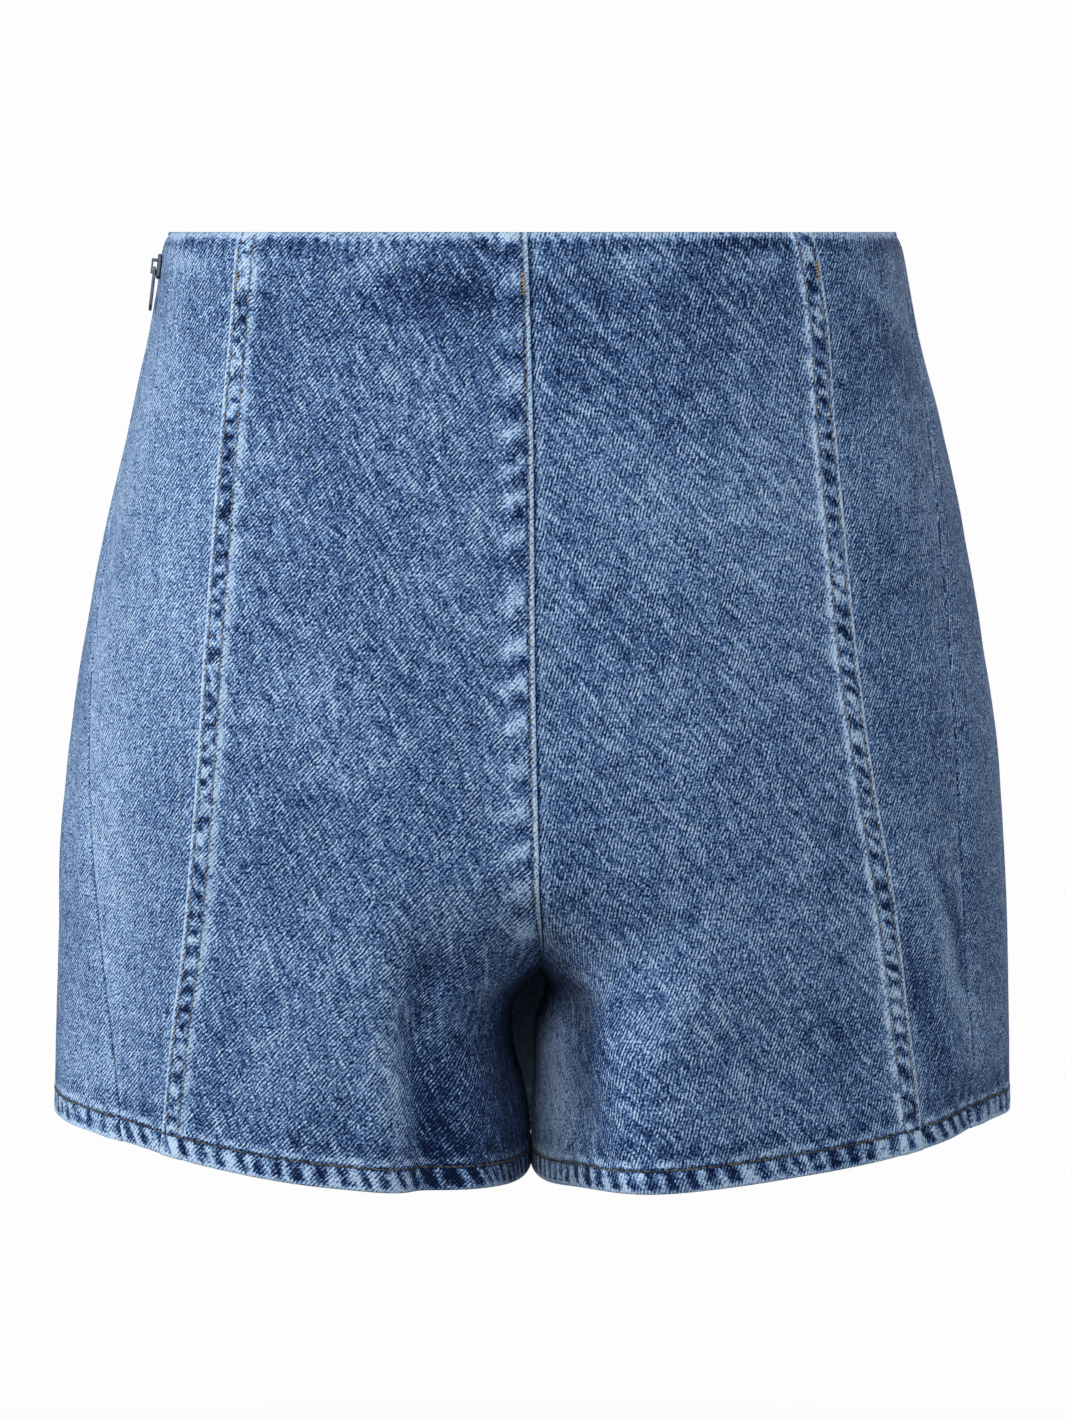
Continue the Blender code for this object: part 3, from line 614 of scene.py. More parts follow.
def waist_finish(cloth, seed):
    """The worn folded edge at the waist, with dark and pale puckers under it."""
    down, across = cloth["level"], cloth["across"]
    wave = uneven_wave(across, 4.6 * MM, seed)
    slow = uneven(14 * MM, seed + 6, across)
    ragged = uneven(2.2 * MM, seed + 7, across, down)
    worn_mm = 2.3 + 0.9 * slow + 0.7 * wave + 0.6 * ragged
    edge = fade(down, (worn_mm - 0.9) * MM, (worn_mm + 1.1) * MM)
    under = plateau(down, 1.6 * MM, 3 * MM, 5 * MM, 9 * MM)
    patches = np.maximum(uneven(11 * MM, seed + 8, across, 0.6 * down), 0.0)
    below = plateau(down, 4 * MM, 7 * MM, 9 * MM, 22 * MM)
    roll = -WAIST_ROLL * np.clip(1.0 - down / WAIST_ROLL_HEIGHT, 0.0, 1.0) ** 2
    paleness = 0.36 * edge + (0.14 * wave + 0.12 * slow - 0.12) * under + 0.3 * patches * below
    return roll + WAIST_PUCKER_HEIGHT * wave * under, paleness


def band_finish(cloth, seed):
    """The double-stitched band along a back panel's princess seam."""
    away, down = cloth["from_high"], cloth["level"]
    pucker = uneven_wave(down + 0.5 * away, PUCKER_PITCH, seed)
    slow = uneven(16 * MM, seed + 5, down)
    fine = uneven(2.6 * MM, seed + 8, down, away)
    edge = fade(away, EDGE_STITCH - 1.0 * MM, EDGE_STITCH - 0.4 * MM)
    between = plateau(away, EDGE_STITCH, EDGE_STITCH + 1.0 * MM, SECOND_STITCH - 1.0 * MM, SECOND_STITCH)
    ditches = bell(away - EDGE_STITCH, DITCH) + bell(away - SECOND_STITCH, DITCH)
    flank = plateau(away, SECOND_STITCH + 0.3 * MM, SECOND_STITCH + 1.2 * MM,
                    SECOND_STITCH + 2.0 * MM, SECOND_STITCH + 5.5 * MM)
    patches = 0.55 + 0.45 * uneven_wave(down, 15 * MM, seed + 1)
    rungs = 2.0 * smooth(pucker + 0.5 * fine, -0.75, 0.5) - 1.0
    ridge = bell(away - SECOND_STITCH - 1.3 * MM, 0.9 * MM)
    turned = fade(cloth["above_hem"], HEM_STITCH - 1 * MM, HEM_STITCH)
    inside = fade(away, SECOND_STITCH, SECOND_STITCH + 2 * MM)
    relief = MM * (0.4 * pucker * between - 0.26 * ditches) * (1 - turned)
    # the ditches term paints shade into the grooves of the two stitch lines
    sewn = (0.56 * edge + (0.4 * rungs + 0.2 * slow + 0.14 * fine) * between
            + 0.3 * flank * patches + 0.45 * ridge * (0.35 + 0.65 * patches) - 0.08 * ditches)
    return relief, sewn * (1 - turned) + 0.34 * inside * turned


def centre_finish(cloth, seed, lapped):
    """The centre-back seam: a lapped, edge-stitched side and a plain side."""
    away, down = cloth["from_low"], cloth["level"]
    above_crotch = fade(down, CROTCH_LEVEL - 16 * MM, CROTCH_LEVEL - 2 * MM)
    if not lapped:
        beside = 0.6 + 0.5 * uneven_wave(down, 18 * MM, seed)
        paleness = -0.35 * bell(away, 0.9 * MM) + 0.2 * beside * bell(away - 2.4 * MM, 1.5 * MM)
        return -0.25 * MM * bell(away, 0.9 * MM), above_crotch * paleness
    pucker = uneven_wave(down - 0.4 * away, CENTRE_PUCKER_PITCH, seed)
    fine = uneven(3 * MM, seed + 2, down, away)
    narrow = plateau(away, 2.6 * MM, 3.6 * MM, 7.5 * MM, 10.5 * MM)
    wide = plateau(away, 2.6 * MM, 3.6 * MM, 8 * MM, 16 * MM)
    ditch = bell(away - CENTRE_STITCH - 0.2 * MM, 0.8 * DITCH)
    relief = MM * (0.4 * pucker * narrow - 0.28 * ditch)
    edge = fade(away, CENTRE_STITCH - 0.5 * MM, CENTRE_STITCH + 0.1 * MM)
    # the ditch term paints shade into the groove of the edge stitch
    paleness = (0.5 * edge + 0.62 * np.maximum(pucker, 0.0) * wide - 0.32 * np.maximum(-pucker, 0.0) * narrow
                + 0.2 * fine * narrow - 0.3 * ditch)
    return relief * above_crotch, paleness * above_crotch


def plain_seam_finish(away, down, seed):
    """A pressed seam with no stitching on the face."""
    pucker = uneven_wave(down, 13 * MM, seed)
    beside = bell(away - 3.0 * MM, 3.0 * MM)
    ditch = bell(away, 0.6 * MM)
    relief = MM * (0.15 * pucker * beside - 0.22 * ditch)
    return relief, 0.08 * pucker * beside + 0.1 * bell(away - 1.6 * MM, 1.0 * MM) - 0.08 * ditch


def drape(cloth, creases, seed):
    """Soft unevenness and small creases of worn denim."""
    x, down = cloth["x"], cloth["level"]
    shape = crease_height(creases, x, down)
    soft = MM * (0.5 * uneven(38 * MM, seed, x, down)
                 + 0.16 * uneven(13 * MM, seed + 1, x, down))
    edges = smooth(cloth["from_low"], *DRAPE_CLEAR) * smooth(cloth["from_high"], *DRAPE_CLEAR)
    # creases are painted paler on their ridges as wear and darker in their troughs as painted shade
    return (shape + soft) * edges, CREASE_WEAR_AND_SHADE * shape / MM * edges


def edge_finishes(cloth, seed):
    return hem_finish(cloth, seed), waist_finish(cloth, seed + 1)


def side_seam_finishes(cloth, seed):
    """Both long edges of a panel as plain seams."""
    return (plain_seam_finish(cloth["from_low"], cloth["level"], seed + 2),
            plain_seam_finish(cloth["from_high"], cloth["level"], seed + 3))


def back_wear_and_painted_light(cloth):
    """Finishes of the back as a whole: its drape, washed-out areas, worn ridges, painted light on ridges and
    at the left side, and painted shade in valleys and at the crotch.
    """
    x, down = cloth["x"], cloth["level"]
    faded_and_painted = np.zeros_like(x)
    for at_x, at_down, reach_x, reach_down, paleness in rows_of(FADES_AND_PAINTED_LIGHT):
        faded_and_painted += paleness * np.exp(-((x - at_x) / reach_x) ** 2 - ((down - at_down) / reach_down) ** 2)
    return drape(cloth, BACK_CREASES, BACK_SEED), (0.0, faded_and_painted + crease_height(PAINTED_LIGHT_AND_WEAR, x, down))


def summed(*finishes):
    """Relief and paleness of several finishes on the same cloth."""
    return sum(f[0] for f in finishes), sum(f[1] for f in finishes)


def round_over(distance, radius):
    """How far a rounded edge falls away, from the full radius at the edge to 0."""
    short = np.clip(radius - distance, 0.0, radius)
    return radius - np.sqrt(radius ** 2 - short ** 2)


def shell_mesh(name, cloth, walls, finish, edge_radius, material):
    """A closed thin shell on the cloth's points, with rounded edges, and its outer grid.

    walls are its thickness and that of its hem. edge_radius holds one radius for each long edge.
    """
    (wall, hem_wall), (relief, paleness), lap = walls, finish, cloth["lap"]
    above_turn = smooth(cloth["above_hem"], HEM_TURN - 0.4 * MM, HEM_TURN + 0.4 * MM)
    thick = hem_wall + (wall - hem_wall) * above_turn
    hem_radius = np.min(hem_wall) * HEM_ROUNDING
    top_radius = np.min(wall) * TOP_ROUNDING
    falls = [round_over(cloth["from_low"], edge_radius[0]), round_over(cloth["from_high"], edge_radius[1]),
             round_over(cloth["level"], top_radius), round_over(cloth["above_hem"], hem_radius)]
    fall = np.max(falls, axis=0)
    inner_fall = np.minimum(fall, hem_radius * (1 - above_turn) + top_radius * above_turn)
    outward, inward = lap + relief - fall, np.minimum(lap, 0.0) - thick + INNER_RELIEF * relief + inner_fall
    outer, inner = (cloth["spots"] + cloth["normals"] * height[..., None] for height in (outward, inward))
    return closed_shell(name, cloth, outer, inner, paleness, material), outer


def closed_shell(name, cloth, outer, inner, paleness, material):
    rows, columns = outer.shape[:2]
    index = np.arange(rows * columns).reshape(rows, columns)
    quads = np.stack((index[:-1, :-1], index[:-1, 1:], index[1:, 1:], index[1:, :-1]), axis=-1).reshape(-1, 4)
    rim = np.concatenate((index[0, :], index[1:, -1], index[-1, -2::-1], index[-2:0:-1, 0]))
    after = np.roll(rim, -1)
    count = rows * columns
    rim_quads = np.stack((after, rim, rim + count, after + count), axis=-1)
    faces = np.concatenate((quads, quads[:, ::-1] + count, rim_quads))
    edge_a, edge_b = outer[1, 1] - outer[0, 0], outer[1, 0] - outer[0, 1]
    if np.dot(np.cross(edge_b, edge_a), cloth["normals"][0, 0]) < 0:
        faces = faces[:, ::-1]
    mesh = mesh_from_arrays(name, np.concatenate((outer.reshape(-1, 3), inner.reshape(-1, 3))), faces)
    weave = np.stack((cloth["across"], cloth["level"], 0 * cloth["level"]), axis=-1).reshape(-1, 3)
    inside = np.where(cloth["above_hem"] > HEM_TURN, 1.0, HEM_INSIDE).reshape(-1)
    add_attribute(mesh, "weave", "FLOAT_VECTOR", "vector", np.concatenate((weave, weave)))
    paleness = paleness.reshape(-1)
    add_attribute(mesh, "paleness", "FLOAT", "value", np.concatenate((paleness, 0.5 * paleness - 0.15)))
    add_attribute(mesh, "inside", "FLOAT", "value", np.concatenate((np.zeros(count), inside)))
    mesh.materials.append(material)
    return mesh


def mesh_from_arrays(name, points, faces):
    """A smooth-shaded mesh from arrays of points and four-cornered faces."""
    mesh = bpy.data.meshes.new(name)
    mesh.vertices.add(len(points))
    mesh.vertices.foreach_set("co", np.asarray(points, np.float32).ravel())
    mesh.loops.add(len(faces) * 4)
    mesh.loops.foreach_set("vertex_index", np.asarray(faces, np.int32).ravel())
    mesh.polygons.add(len(faces))
    mesh.polygons.foreach_set("loop_start", np.arange(0, len(faces) * 4, 4, dtype=np.int32))
    mesh.update(calc_edges=True)
    mesh.shade_smooth()
    return mesh


def add_attribute(mesh, name, kind, field, values):
    attribute = mesh.attributes.new(name, kind, "POINT")
    attribute.data.foreach_set(field, np.asarray(values, np.float32).ravel())


def add_piece(name, mesh, body="garment"):
    piece = bpy.data.objects.new(name, mesh)
    bpy.context.scene.collection.objects.link(piece)
    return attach(piece, body)


def line_down(cloth, outer, distance_name, distance):
    """Points and normals down the cloth to the hem's stitches, at a distance in from a long edge."""
    above = cloth["above_hem"][:, 0] > HEM_STITCH
    from_edge = cloth[distance_name][above]
    order = slice(None) if from_edge[0, 0] < from_edge[0, -1] else slice(None, None, -1)
    grids = [grid[above][:, order] for grid in (outer, cloth["normals"])]
    return [np.array([[np.interp(distance, row_edge, row[:, axis]) for axis in range(3)]
                      for row_edge, row in zip(from_edge[:, order], grid)]) for grid in grids]


def stitch_line(points, normals, seed, start=0.0, end=None, pitch=STITCH_PITCH, radius=THREAD_RADIUS,
                rise=0.42 * MM, skew=0.12 * MM, share=STITCH_SHARE):
    """Rings of points for a row of stitches: each dives into the cloth at both its ends."""
    steps = np.linalg.norm(np.diff(points, axis=0), axis=1)
    arc = np.concatenate(([0.0], np.cumsum(steps)))
    end = arc[-1] if end is None else end
    count = int((end - start) / pitch)
    random = np.random.default_rng(seed)
    first = start + pitch * (np.arange(count) + 0.08) + random.uniform(-0.1, 0.1, count) * pitch
    t = np.array([0.0, 0.14, 0.34, 0.66, 0.86, 1.0])
    at = first[:, None] + t[None, :] * pitch * share

    def read(values):
        return np.stack([np.interp(at, arc, values[:, axis]) for axis in range(3)], axis=-1)

    centre, normal = read(points), read(normals)
    normal /= np.linalg.norm(normal, axis=-1, keepdims=True)
    tangent = np.gradient(centre, axis=1)
    tangent /= np.linalg.norm(tangent, axis=-1, keepdims=True)
    sideways = np.cross(tangent, normal)
    height = rise * (np.sin(math.pi * t) ** 0.7 - 0.55)
    lean = skew * (2 * t - 1)
    centre = centre + normal * height[None, :, None] + sideways * lean[None, :, None]
    girth = radius * (0.55 + 0.45 * np.sin(math.pi * t) ** 0.5)
    girth = girth[None, :] * random.uniform(0.85, 1.12, (count, 1))
    around = np.linspace(0.0, 2 * math.pi, 6, endpoint=False)
    ring = (sideways[:, :, None, :] * np.cos(around)[None, None, :, None]
            + normal[:, :, None, :] * np.sin(around)[None, None, :, None])
    return centre[:, :, None, :] + ring * girth[:, :, None, None], random.uniform(0.0, 1.0, count)


def add_threads(name, lines, material):
    """One piece of many short threads, each closed at both ends."""
    rings = np.concatenate([line[0] for line in lines])
    tints = np.concatenate([line[1] for line in lines])
    count, along_count, around_count = rings.shape[:3]
    index = np.arange(count * along_count * around_count).reshape(count, along_count, around_count)
    turned = np.roll(index, -1, axis=2)
    walls = np.stack((index[:, :-1], turned[:, :-1], turned[:, 1:], index[:, 1:]), axis=-1).reshape(-1, 4)
    caps = []
    for end, flip in ((0, True), (along_count - 1, False)):
        for corners in ((0, 1, 2, 3), (0, 3, 4, 5)):
            cap = index[:, end, list(corners)]
            caps.append(cap[:, ::-1] if flip else cap)
    mesh = mesh_from_arrays(name, rings.reshape(-1, 3), np.concatenate([walls] + caps))
    add_attribute(mesh, "tint", "FLOAT", "value", np.repeat(tints, along_count * around_count))
    mesh.materials.append(material)
    return add_piece(name, mesh)


class Graph:
    """Short ways to add and join the nodes of one material."""

    def __init__(self, name):
        self.material = bpy.data.materials.new(name)
        self.material.use_nodes = True
        self.nodes, self.links = self.material.node_tree.nodes, self.material.node_tree.links
        self.shader = self.nodes["Principled BSDF"]

    def feed(self, socket, value):
        if hasattr(value, "is_output"):
            self.links.new(value, socket)
        else:
            socket.default_value = value

    def shade(self, sockets):
        """Feeds the shader's own sockets by name."""
        for name, value in sockets.items():
            self.feed(self.shader.inputs[name], value)

    def node(self, kind, *values, **settings):
        """A new node with its settings, such as its operation, and values or nodes for its first inputs."""
        node = self.nodes.new("ShaderNode" + kind)
        for name, setting in settings.items():
            setattr(node, name, setting)
        for socket, value in zip(node.inputs, values):
            self.feed(socket, value)
        return node

    def math(self, operation, *values):
        return self.node("Math", *values, operation=operation).outputs[0]

    def total(self, *terms):
        """Sum of (value, weight) pairs and plain values."""
        result = None
        for term in terms:
            value, weight = term if isinstance(term, tuple) else (term, 1.0)
            if result is None:
                result = self.math("MULTIPLY", value, weight)
            else:
                result = self.math("MULTIPLY_ADD", value, weight, result)
        return result

    def attribute(self, name, output="Fac"):
        return self.node("Attribute", attribute_name=name).outputs[output]

    def position(self):
        return self.node("NewGeometry").outputs["Position"]

    def point(self, x, y, z):
        return self.node("CombineXYZ", x, y, z).outputs[0]

    def noise(self, vector, scale, detail, roughness=0.5):
        """Noise about 0, from about -0.5 to 0.5."""
        node = self.node("TexNoise")
        for name, value in (("Vector", vector), ("Scale", scale), ("Detail", detail),
                            ("Roughness", roughness)):
            self.feed(node.inputs[name], value)
        return self.math("SUBTRACT", node.outputs["Fac"], 0.5)

    def drawn_noise(self, directions, scales, offset, detail, roughness=0.5):
        """Noise drawn out over the cloth, with one scale along and one across a direction."""
        run, cut = (self.math("MULTIPLY", way, scale) for way, scale in zip(directions, scales))
        return self.noise(self.point(run, cut, offset), 1.0, detail, roughness)

    def ramp(self, value, stops):
        node = self.node("ValToRGB", value)
        while len(node.color_ramp.elements) < len(stops):
            node.color_ramp.elements.new(0.5)
        for element, (position, colour) in zip(node.color_ramp.elements, stops):
            element.position = position
            element.color = (*colour, 1.0)
        return node.outputs["Color"]

    def mix(self, share, a, b):
        node = self.node("Mix", share, data_type="RGBA")
        self.feed(node.inputs[6], a)
        self.feed(node.inputs[7], b)
        return node.outputs[2]

    def bump(self, height, distance, strength):
        node = self.node("Bump")
        for name, value in (("Strength", strength), ("Distance", distance), ("Height", height)):
            self.feed(node.inputs[name], value)
        self.shade({"Normal": node.outputs["Normal"]})

    def turned(self, u, v, degrees):
        """The two cloth coordinates turned so that the first runs along a direction."""
        c, s = math.cos(math.radians(degrees)), math.sin(math.radians(degrees))
        return self.total((u, c), (v, s)), self.total((v, c), (u, -s))


DENIM_STOPS = ((0.0, (0.0030, 0.0090, 0.034)), (0.225, (0.0180, 0.0515, 0.157)),
               (0.425, (0.0660, 0.1310, 0.284)), (0.625, (0.153, 0.260, 0.462)),
               (0.825, (0.305, 0.450, 0.665)), (1.0, (0.470, 0.620, 0.800)))
# the cloth's reverse: a grey-blue of its own, set darker as painted shade so that the inside seen between the
# legs reads dark
INSIDE_STOPS = ((0.0, (0.035, 0.060, 0.12)), (0.5, (0.12, 0.165, 0.25)), (1.0, (0.36, 0.42, 0.50)))

# Noise scales of the denim, in swells for each metre of cloth. A pair is along and across the threads.
WOBBLE_SCALE = 170.0
DASH_SCALES = (400.0, 700.0)
YARN_SCALES = (300.0, 1000.0)
STREAK_BEND_SCALE = 42.0
SLUB_SCALES = (110.0, 560.0)
STREAK_SCALES = (85.0, 620.0)
GRAIN_SCALE = 1150.0
CLOUD_SCALE = 150.0
WASH_SCALE = 26.0


def denim(name, twill, streak, tone, seed, streaky):
    """Stone-washed twill. twill and streak are directions in degrees, clockwise from across."""
    graph = Graph(name)
    weave = graph.node("SeparateXYZ", graph.attribute("weave", "Vector"))
    u, v = weave.outputs[0], weave.outputs[1]
    wobble = graph.noise(graph.point(u, v, seed), WOBBLE_SCALE, 2.0)
    run, cut = graph.turned(u, v, twill)
    cut = graph.total((wobble, 1.6 * MM), cut)
    lines = graph.math("SINE", graph.math("MULTIPLY", cut, 2 * math.pi / TWILL_PITCH))
    dashes = graph.drawn_noise((run, cut), DASH_SCALES, seed + 1.7, 1.0)
    yarn = graph.drawn_noise((run, cut), YARN_SCALES, seed, 2.0, 0.65)
    streak_run, streak_cut = graph.turned(u, v, streak)
    bend = graph.noise(graph.point(u, v, seed + 4.4), STREAK_BEND_SCALE, 2.0)
    streak_way = (streak_run, graph.total((bend, 8 * MM), streak_cut))
    slub = graph.drawn_noise(streak_way, SLUB_SCALES, seed + 3.1, 2.0, 0.6)
    streaks = graph.drawn_noise(streak_way, STREAK_SCALES, seed + 6.6, 2.0)
    crest = graph.math("MAXIMUM", graph.math("SUBTRACT", streaks, 0.02), 0.0)
    crest = graph.math("MULTIPLY", crest, graph.total((lines, 0.55), (dashes, 1.5), 0.75))
    lines = graph.math("MULTIPLY", lines, graph.total((dashes, 3.2), (slub, 1.8), 0.8))
    grain = graph.noise(graph.point(u, v, seed + 5.2), GRAIN_SCALE, 1.0)
    cloud = graph.noise(graph.point(u, v, seed + 7.9), CLOUD_SCALE, 3.0, 0.6)
    wash = graph.noise(graph.point(u, v, seed + 9.3), WASH_SCALE, 2.0)
    value = graph.total((lines, 0.27), (yarn, 1.15), (slub, 0.6 * streaky), (crest, 1.7 * streaky),
                        (grain, 1.8), (cloud, 0.48), (wash, 0.36), graph.attribute("paleness"),
                        tone - 0.05 * streaky)
    inside_value = graph.total((lines, -0.08), (yarn, 0.9), (cloud, 0.5), 0.42)
    graph.bump(graph.total((lines, 0.5), (yarn, 1.3), (slub, 0.9), (grain, 0.6)), 0.16 * MM, 0.8)
    graph.shade({"Base Color": graph.mix(graph.attribute("inside"), graph.ramp(value, DENIM_STOPS),
                                         graph.ramp(inside_value, INSIDE_STOPS)),
                 "Roughness": 0.92, "Sheen Weight": 0.04, "Sheen Roughness": 0.5,
                 "Specular IOR Level": 0.08})
    return graph.material


def thread(name, dark, pale):
    """Twisted sewing thread, each stitch a little different."""
    graph = Graph(name)
    twist = graph.noise(graph.position(), 1500.0, 2.0)
    value = graph.total((twist, 1.3), (graph.attribute("tint"), 0.6), 0.2)
    graph.bump(twist, 0.1 * MM, 0.6)
    graph.shade({"Base Color": graph.ramp(value, ((0.0, dark), (1.0, pale))), "Roughness": 0.75,
                 "Specular IOR Level": 0.25})
    return graph.material


def tape_cloth(name, colour):
    """Closely woven zip tape."""
    graph = Graph(name)
    rib_scales = (600.0, 600.0, 2400.0)
    stretched = graph.node("VectorMath", graph.position(), rib_scales, operation="MULTIPLY").outputs[0]
    ribs = graph.noise(stretched, 1.0, 1.0)
    pale = tuple(channel * 2.6 for channel in colour)
    graph.bump(ribs, 0.12 * MM, 0.7)
    graph.shade({"Base Color": graph.ramp(graph.math("ADD", ribs, 0.45), ((0.2, colour), (0.9, pale))),
                 "Roughness": 0.85})
    return graph.material


def metal(name, dark, pale):
    """Lacquered cast metal, rubbed a little paler in places."""
    graph = Graph(name)
    patches = graph.noise(graph.position(), 420.0, 3.0)
    scratches = graph.noise(graph.position(), 2600.0, 2.0)
    value = graph.total((patches, 1.4), (scratches, 0.5), 0.5)
    graph.bump(scratches, 0.04 * MM, 0.4)
    graph.shade({"Base Color": graph.ramp(value, ((0.15, dark), (0.85, pale))), "Metallic": 0.2,
                 "Roughness": graph.total((patches, 0.35), (scratches, 0.2), 0.38)})
    return graph.material


def plain(name, colour, roughness):
    graph = Graph(name)
    graph.shade({"Base Color": (*colour, 1.0), "Roughness": roughness})
    return graph


Panel = collections.namedtuple("Panel", "material twill streak tone seed streaky rounding flat area")

# Each cloth node's material, the rounding of its two long edges in mm, and its flat size and area as cut.
PANELS = {
    "back_left": Panel("denim_back_left", -47.0, 62.0, 0.43, 10, 1.0, (0.4, 0.7), (0.215, 0.35), 0.052),
    "back_right": Panel("denim_back_right", -72.0, 46.0, 0.43, 40, 1.0, (0.4, 0.7), (0.215, 0.35), 0.052),
    # the left side panel's tone is paler and the right one's darker: partly wash, partly painted light
    # falling from the left
    "side_back_left": Panel("denim_side_left", -50.0, 84.0, 0.45, 70, 0.45, (0.5, 0.25), (0.09, 0.34),
                            0.0215),
    "side_back_right": Panel("denim_side_right", -64.0, 97.0, 0.41, 100, 0.45, (0.5, 0.25), (0.09, 0.34),
                             0.0185),
    "front_left": Panel("denim_front_left", -58.0, 80.0, 0.30, 130, 0.5, (0.45, 0.45), (0.33, 0.35), 0.095),
    "front_right": Panel("denim_front_right", -58.0, 80.0, 0.30, 160, 0.5, (0.45, 0.45), (0.33, 0.35), 0.095),
    "skirt_front": Panel("denim_skirt", -58.0, 66.0, 0.43, 190, 0.3, (0.25, 0.25), (0.52, 0.36), 0.186),
}

LEVELS = fine_levels(TORSO_PITCH, LEG_ROWS)
UNDER_LEVELS = fine_levels(UNDER_PITCH, UNDER_LEG_ROWS)
worn_thread = thread("worn_thread", (0.030, 0.030, 0.034), (0.42, 0.395, 0.36))
hem_thread = thread("hem_thread", (0.006, 0.007, 0.010), (0.15, 0.14, 0.11))
ochre_thread = thread("ochre_thread", (0.26, 0.15, 0.05), (0.70, 0.48, 0.22))


def add_cloth(node, cloth, walls, finish):
    """The shell that shows a cloth node, and its outer grid of points."""
    panel = PANELS[node]
    rounding = [radius * MM for radius in panel.rounding]
    material = denim(panel.material, panel.twill, panel.streak, panel.tone, panel.seed, panel.streaky)
    mesh, outer = shell_mesh("cloth_" + node, cloth, walls, finish, rounding, material)
    return add_piece("cloth_" + node, mesh), outer


def add_hem_row(node, cloth, outer, seed):
    """The hem's row of stitches, in a thicker thread than the seams have."""
    row = int(np.argmin(np.abs(cloth["above_hem"][:, 0] - HEM_STITCH)))
    line = stitch_line(outer[row], cloth["normals"][row], seed, start=HEM_STITCH_PITCH,
                       pitch=HEM_STITCH_PITCH, radius=HEM_THREAD_RADIUS, rise=0.5 * MM, skew=0.2 * MM,
                       share=0.94)
    return add_threads("hem_stitches_" + node, [line], hem_thread)


def tack(line, levels):
    """A short dense bar of ochre stitches over a seam's stitch line."""
    return stitch_line(*line, TACK_SEED, start=levels[0], end=levels[1], pitch=TACK_PITCH, radius=TACK_RADIUS,
                       rise=0.8 * MM, skew=0.8 * MM)


def declare_cloth(node, with_pieces):
    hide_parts(node)


def dress_back(side):
    """Back panel with its lapped seam bands, hem and stitches."""
    word = side_name(side)
    node, seed = "back_" + word, PANELS["back_" + word].seed
    cloth = half_cloth(side, LEVELS, back_columns)
    finish = summed(*edge_finishes(cloth, seed), band_finish(cloth, seed + 2),
                    centre_finish(cloth, seed + 4, side < 0), *back_wear_and_painted_light(cloth))
    piece, outer = add_cloth(node, cloth, (DENIM_WALL, HEM_WALL), finish)
    band_edge = line_down(cloth, outer, "from_high", EDGE_STITCH)
    lines = [stitch_line(*band_edge, seed),
             stitch_line(*line_down(cloth, outer, "from_high", SECOND_STITCH), seed + 1)]
    tacks = [tack(band_edge, TACK_LEVELS[word])]
    if side < 0:
        centre_edge = line_down(cloth, outer, "from_low", CENTRE_STITCH)
        lines.append(stitch_line(*centre_edge, seed + 3, end=CENTRE_STITCH_END))
        tacks.append(tack(centre_edge, TACK_LEVELS["centre"]))
    stitches = add_threads("stitches_" + node, lines, worn_thread)
    hem_row = add_hem_row(node, cloth, outer, seed + 2)
    bars = add_threads("tacks_" + node, tacks, ochre_thread)
    declare_cloth(node, [stitches, hem_row, bars])


def dress(node, cloth, walls, finish):
    """A panel with no other sewing than its hem's."""
    piece, outer = add_cloth(node, cloth, walls, finish)
    declare_cloth(node, [add_hem_row(node, cloth, outer, PANELS[node].seed)])


def dress_side_back(side):
    node = "side_back_" + side_name(side)
    seed = PANELS[node].seed
    cloth = half_cloth(side, LEVELS, side_back_columns)
    finish = summed(*edge_finishes(cloth, seed), *side_seam_finishes(cloth, seed), *back_wear_and_painted_light(cloth))
    dress(node, cloth, (DENIM_WALL, HEM_WALL), finish)


def dress_front(side):
    """Shorts front under the skirt."""
    node = "front_" + side_name(side)
    cloth = half_cloth(side, UNDER_LEVELS, front_columns, faces_front=True)
    relief, paleness = summed(*edge_finishes(cloth, PANELS[node].seed))
    relief = relief * smooth(cloth["from_low"], *FRONT_RELIEF_CLEAR)
    dress(node, cloth, (FRONT_WALL, FRONT_HEM_WALL), (relief, paleness))


def dress_skirt():
    node = "skirt_front"
    seed = PANELS[node].seed
    cloth = joined_halves(*(half_cloth(side, UNDER_LEVELS, skirt_columns, notched=False, faces_front=True)
                            for side in (-1, 1)))
    # the skirt's left edge is painted paler: partly wash, partly painted light falling from the left
    finish = summed(*edge_finishes(cloth, seed), *side_seam_finishes(cloth, seed),
                    drape(cloth, FRONT_CREASES, FRONT_SEED),
                    (0.0, SIDE_FADE_AND_LIGHT * bell(cloth["from_low"], SIDE_FADE_AND_LIGHT_WIDTH)))
    taper = smooth(np.minimum(cloth["from_low"], cloth["from_high"]), 0.0, SKIRT_TAPER)
    share = SKIRT_EDGE_SHARE + (1.0 - SKIRT_EDGE_SHARE) * taper
    dress(node, cloth, (SKIRT_WALL * share, SKIRT_HEM_WALL * share), finish)


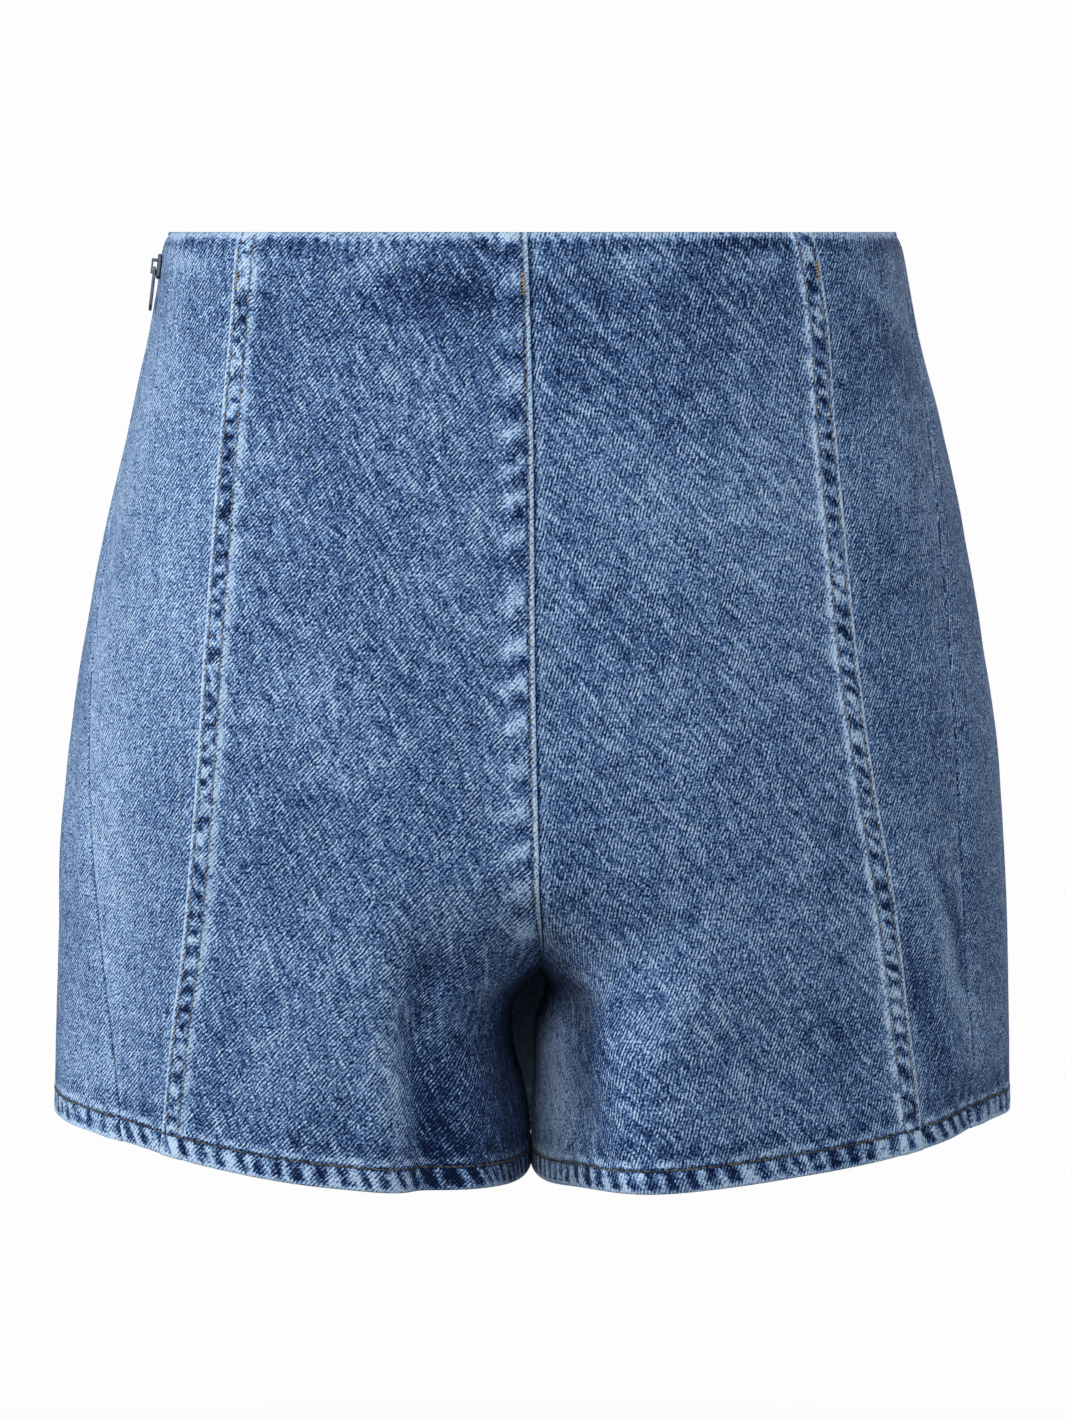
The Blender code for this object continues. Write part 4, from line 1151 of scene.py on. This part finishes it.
def dress_zip():
    """Coil of the closed zip, as ribs across the chain, and the finish of tapes, slider and pull.

    The ribs follow the chain's face, from flush with the cloth at the top to inside the seam lower down.
    """
    ribs = []
    for number, down in enumerate(np.arange(ZIP_TOP, ZIP_END, RIB_PITCH)):
        down = float(down)
        section = half_section(down)
        shift = RIB_SHIFT * (1 if number % 2 else -1)
        arcs = side_arc(section, -1, down) + np.linspace(-0.47, 0.47, 7) * CHAIN_WIDTH + shift
        spots, normals = place(read_section(section, arcs), -1, down)
        sunk = smooth(down, *CHAIN_SINK) * (DENIM_WALL + ZIP_SPACING)
        spots = spots - normals * (sunk + RIB_RADIUS)
        length = np.linalg.norm(spots[-1] - spots[0])
        ribs.append(stitch_line(spots, normals, number, end=length * 1.001, pitch=length, radius=RIB_RADIUS,
                                rise=0.55 * MM, skew=0.1 * MM))
    coil = plain("zip_coil", (0.014, 0.020, 0.045), 0.45).material
    add_threads("zip_coil_ribs", ribs, coil)
    tape = tape_cloth("zip_tape", (0.016, 0.024, 0.050))
    lacquer = metal("zip_metal", (0.010, 0.018, 0.050), (0.034, 0.056, 0.125))
    core = plain("zip_coil_core", (0.010, 0.014, 0.030), 0.6).material
    for name, material in (("zip_tape_back", tape), ("zip_tape_front", tape), ("zip_chain", core),
                           ("zip_slider", lacquer), ("zip_pull", lacquer)):
        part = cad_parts[name]
        part.data.materials.clear()
        part.data.materials.append(material)
        if material is lacquer:
            bevel = part.modifiers.new("Bevel", "BEVEL")
            bevel.width = 0.18 * MM
            bevel.segments = 2


FLOOR_DEPTH = 1.25
STAGE_PROFILE = ((4.2, 0.0), (5.2, 0.12), (6.0, 0.6), (6.5, 1.5), (6.7, 3.0), (6.8, 6.5))  # radius, height
STAGE_SIDES = 96


def build_stage():
    """A pale floor far below that sweeps up all round, so that no edge of it shows."""
    turns = np.linspace(0.0, 2 * math.pi, STAGE_SIDES, endpoint=False)
    points = [(radius * math.cos(turn), radius * math.sin(turn), height - FLOOR_DEPTH)
              for radius, height in STAGE_PROFILE for turn in turns]
    faces = [(ring + step, ring + (step + 1) % STAGE_SIDES,
              ring + STAGE_SIDES + (step + 1) % STAGE_SIDES, ring + STAGE_SIDES + step)
             for ring in range(0, (len(STAGE_PROFILE) - 1) * STAGE_SIDES, STAGE_SIDES)
             for step in range(STAGE_SIDES)]
    mesh = bpy.data.meshes.new("floor")
    mesh.from_pydata(points, [], faces + [tuple(range(STAGE_SIDES))])
    mesh.shade_smooth()
    pale = plain("pale_floor", (0.03, 0.03, 0.03), 1.0)
    pale.shade({"Specular IOR Level": 0.0, "Emission Color": (1.0, 1.0, 1.0, 1.0), "Emission Strength": 0.97})
    mesh.materials.append(pale.material)
    floor = bpy.data.objects.new("floor", mesh)
    floor.visible_diffuse = False
    floor.visible_glossy = False
    bpy.context.scene.collection.objects.link(floor)


def add_light(name, location, size, energy):
    light = bpy.data.lights.new(name, "AREA")
    light.shape = "RECTANGLE"
    light.size, light.size_y = size
    light.energy = energy
    lamp = bpy.data.objects.new(name, light)
    lamp.location = location
    aim = -lamp.location.copy()
    aim.z -= LIGHT_AIM_DEPTH
    lamp.rotation_mode = "QUATERNION"
    lamp.rotation_quaternion = aim.to_track_quat("-Z", "Y")
    bpy.context.scene.collection.objects.link(lamp)


# Sizes in pixels of the photo, which is as high as this. The waist edge lies above its middle.
PICTURE_HEIGHT = 1420
EDGE_ABOVE_MIDDLE = 478
FOCAL_LENGTH = 6134
SENSOR = 36
CAMERA_DISTANCE = 2.3
LIGHT_AIM_DEPTH = 0.17  # lights point this far below the waist edge
LIGHTS = {  # place, size, power
    "key": ((-2.8, -0.8, 0.5), (1.2, 1.6), 62.0),
    "front": ((-0.8, -2.9, 1.3), (1.4, 1.4), 54.0),
    "side": ((2.2, -2.0, 0.4), (1.0, 1.2), 15.0),
    "rear": ((1.6, 2.4, 1.0), (1.4, 1.4), 50.0),
}


def build_camera():
    camera = bpy.data.cameras.new("camera")
    camera.sensor_width = SENSOR
    camera.lens = SENSOR * FOCAL_LENGTH / PICTURE_HEIGHT
    view = bpy.data.objects.new("camera", camera)
    view.location = (0.0, -CAMERA_DISTANCE, 0.0)
    view.rotation_euler = (math.pi / 2 - math.atan(EDGE_ABOVE_MIDDLE / FOCAL_LENGTH), 0.0, 0.0)
    bpy.context.scene.collection.objects.link(view)
    bpy.context.scene.camera = view


def build_light():
    world = bpy.data.worlds.new("studio")
    world.use_nodes = True
    background = world.node_tree.nodes["Background"]
    background.inputs["Color"].default_value = (1.0, 1.0, 1.0, 1.0)
    background.inputs["Strength"].default_value = 0.24
    bpy.context.scene.world = world
    for name, settings in LIGHTS.items():
        add_light(name, *settings)
    bpy.context.scene.view_settings.view_transform = "Standard"


for side in (-1, 1):
    dress_back(side)
    dress_side_back(side)
    dress_front(side)
dress_skirt()
dress_zip()
build_stage()
build_camera()
build_light()
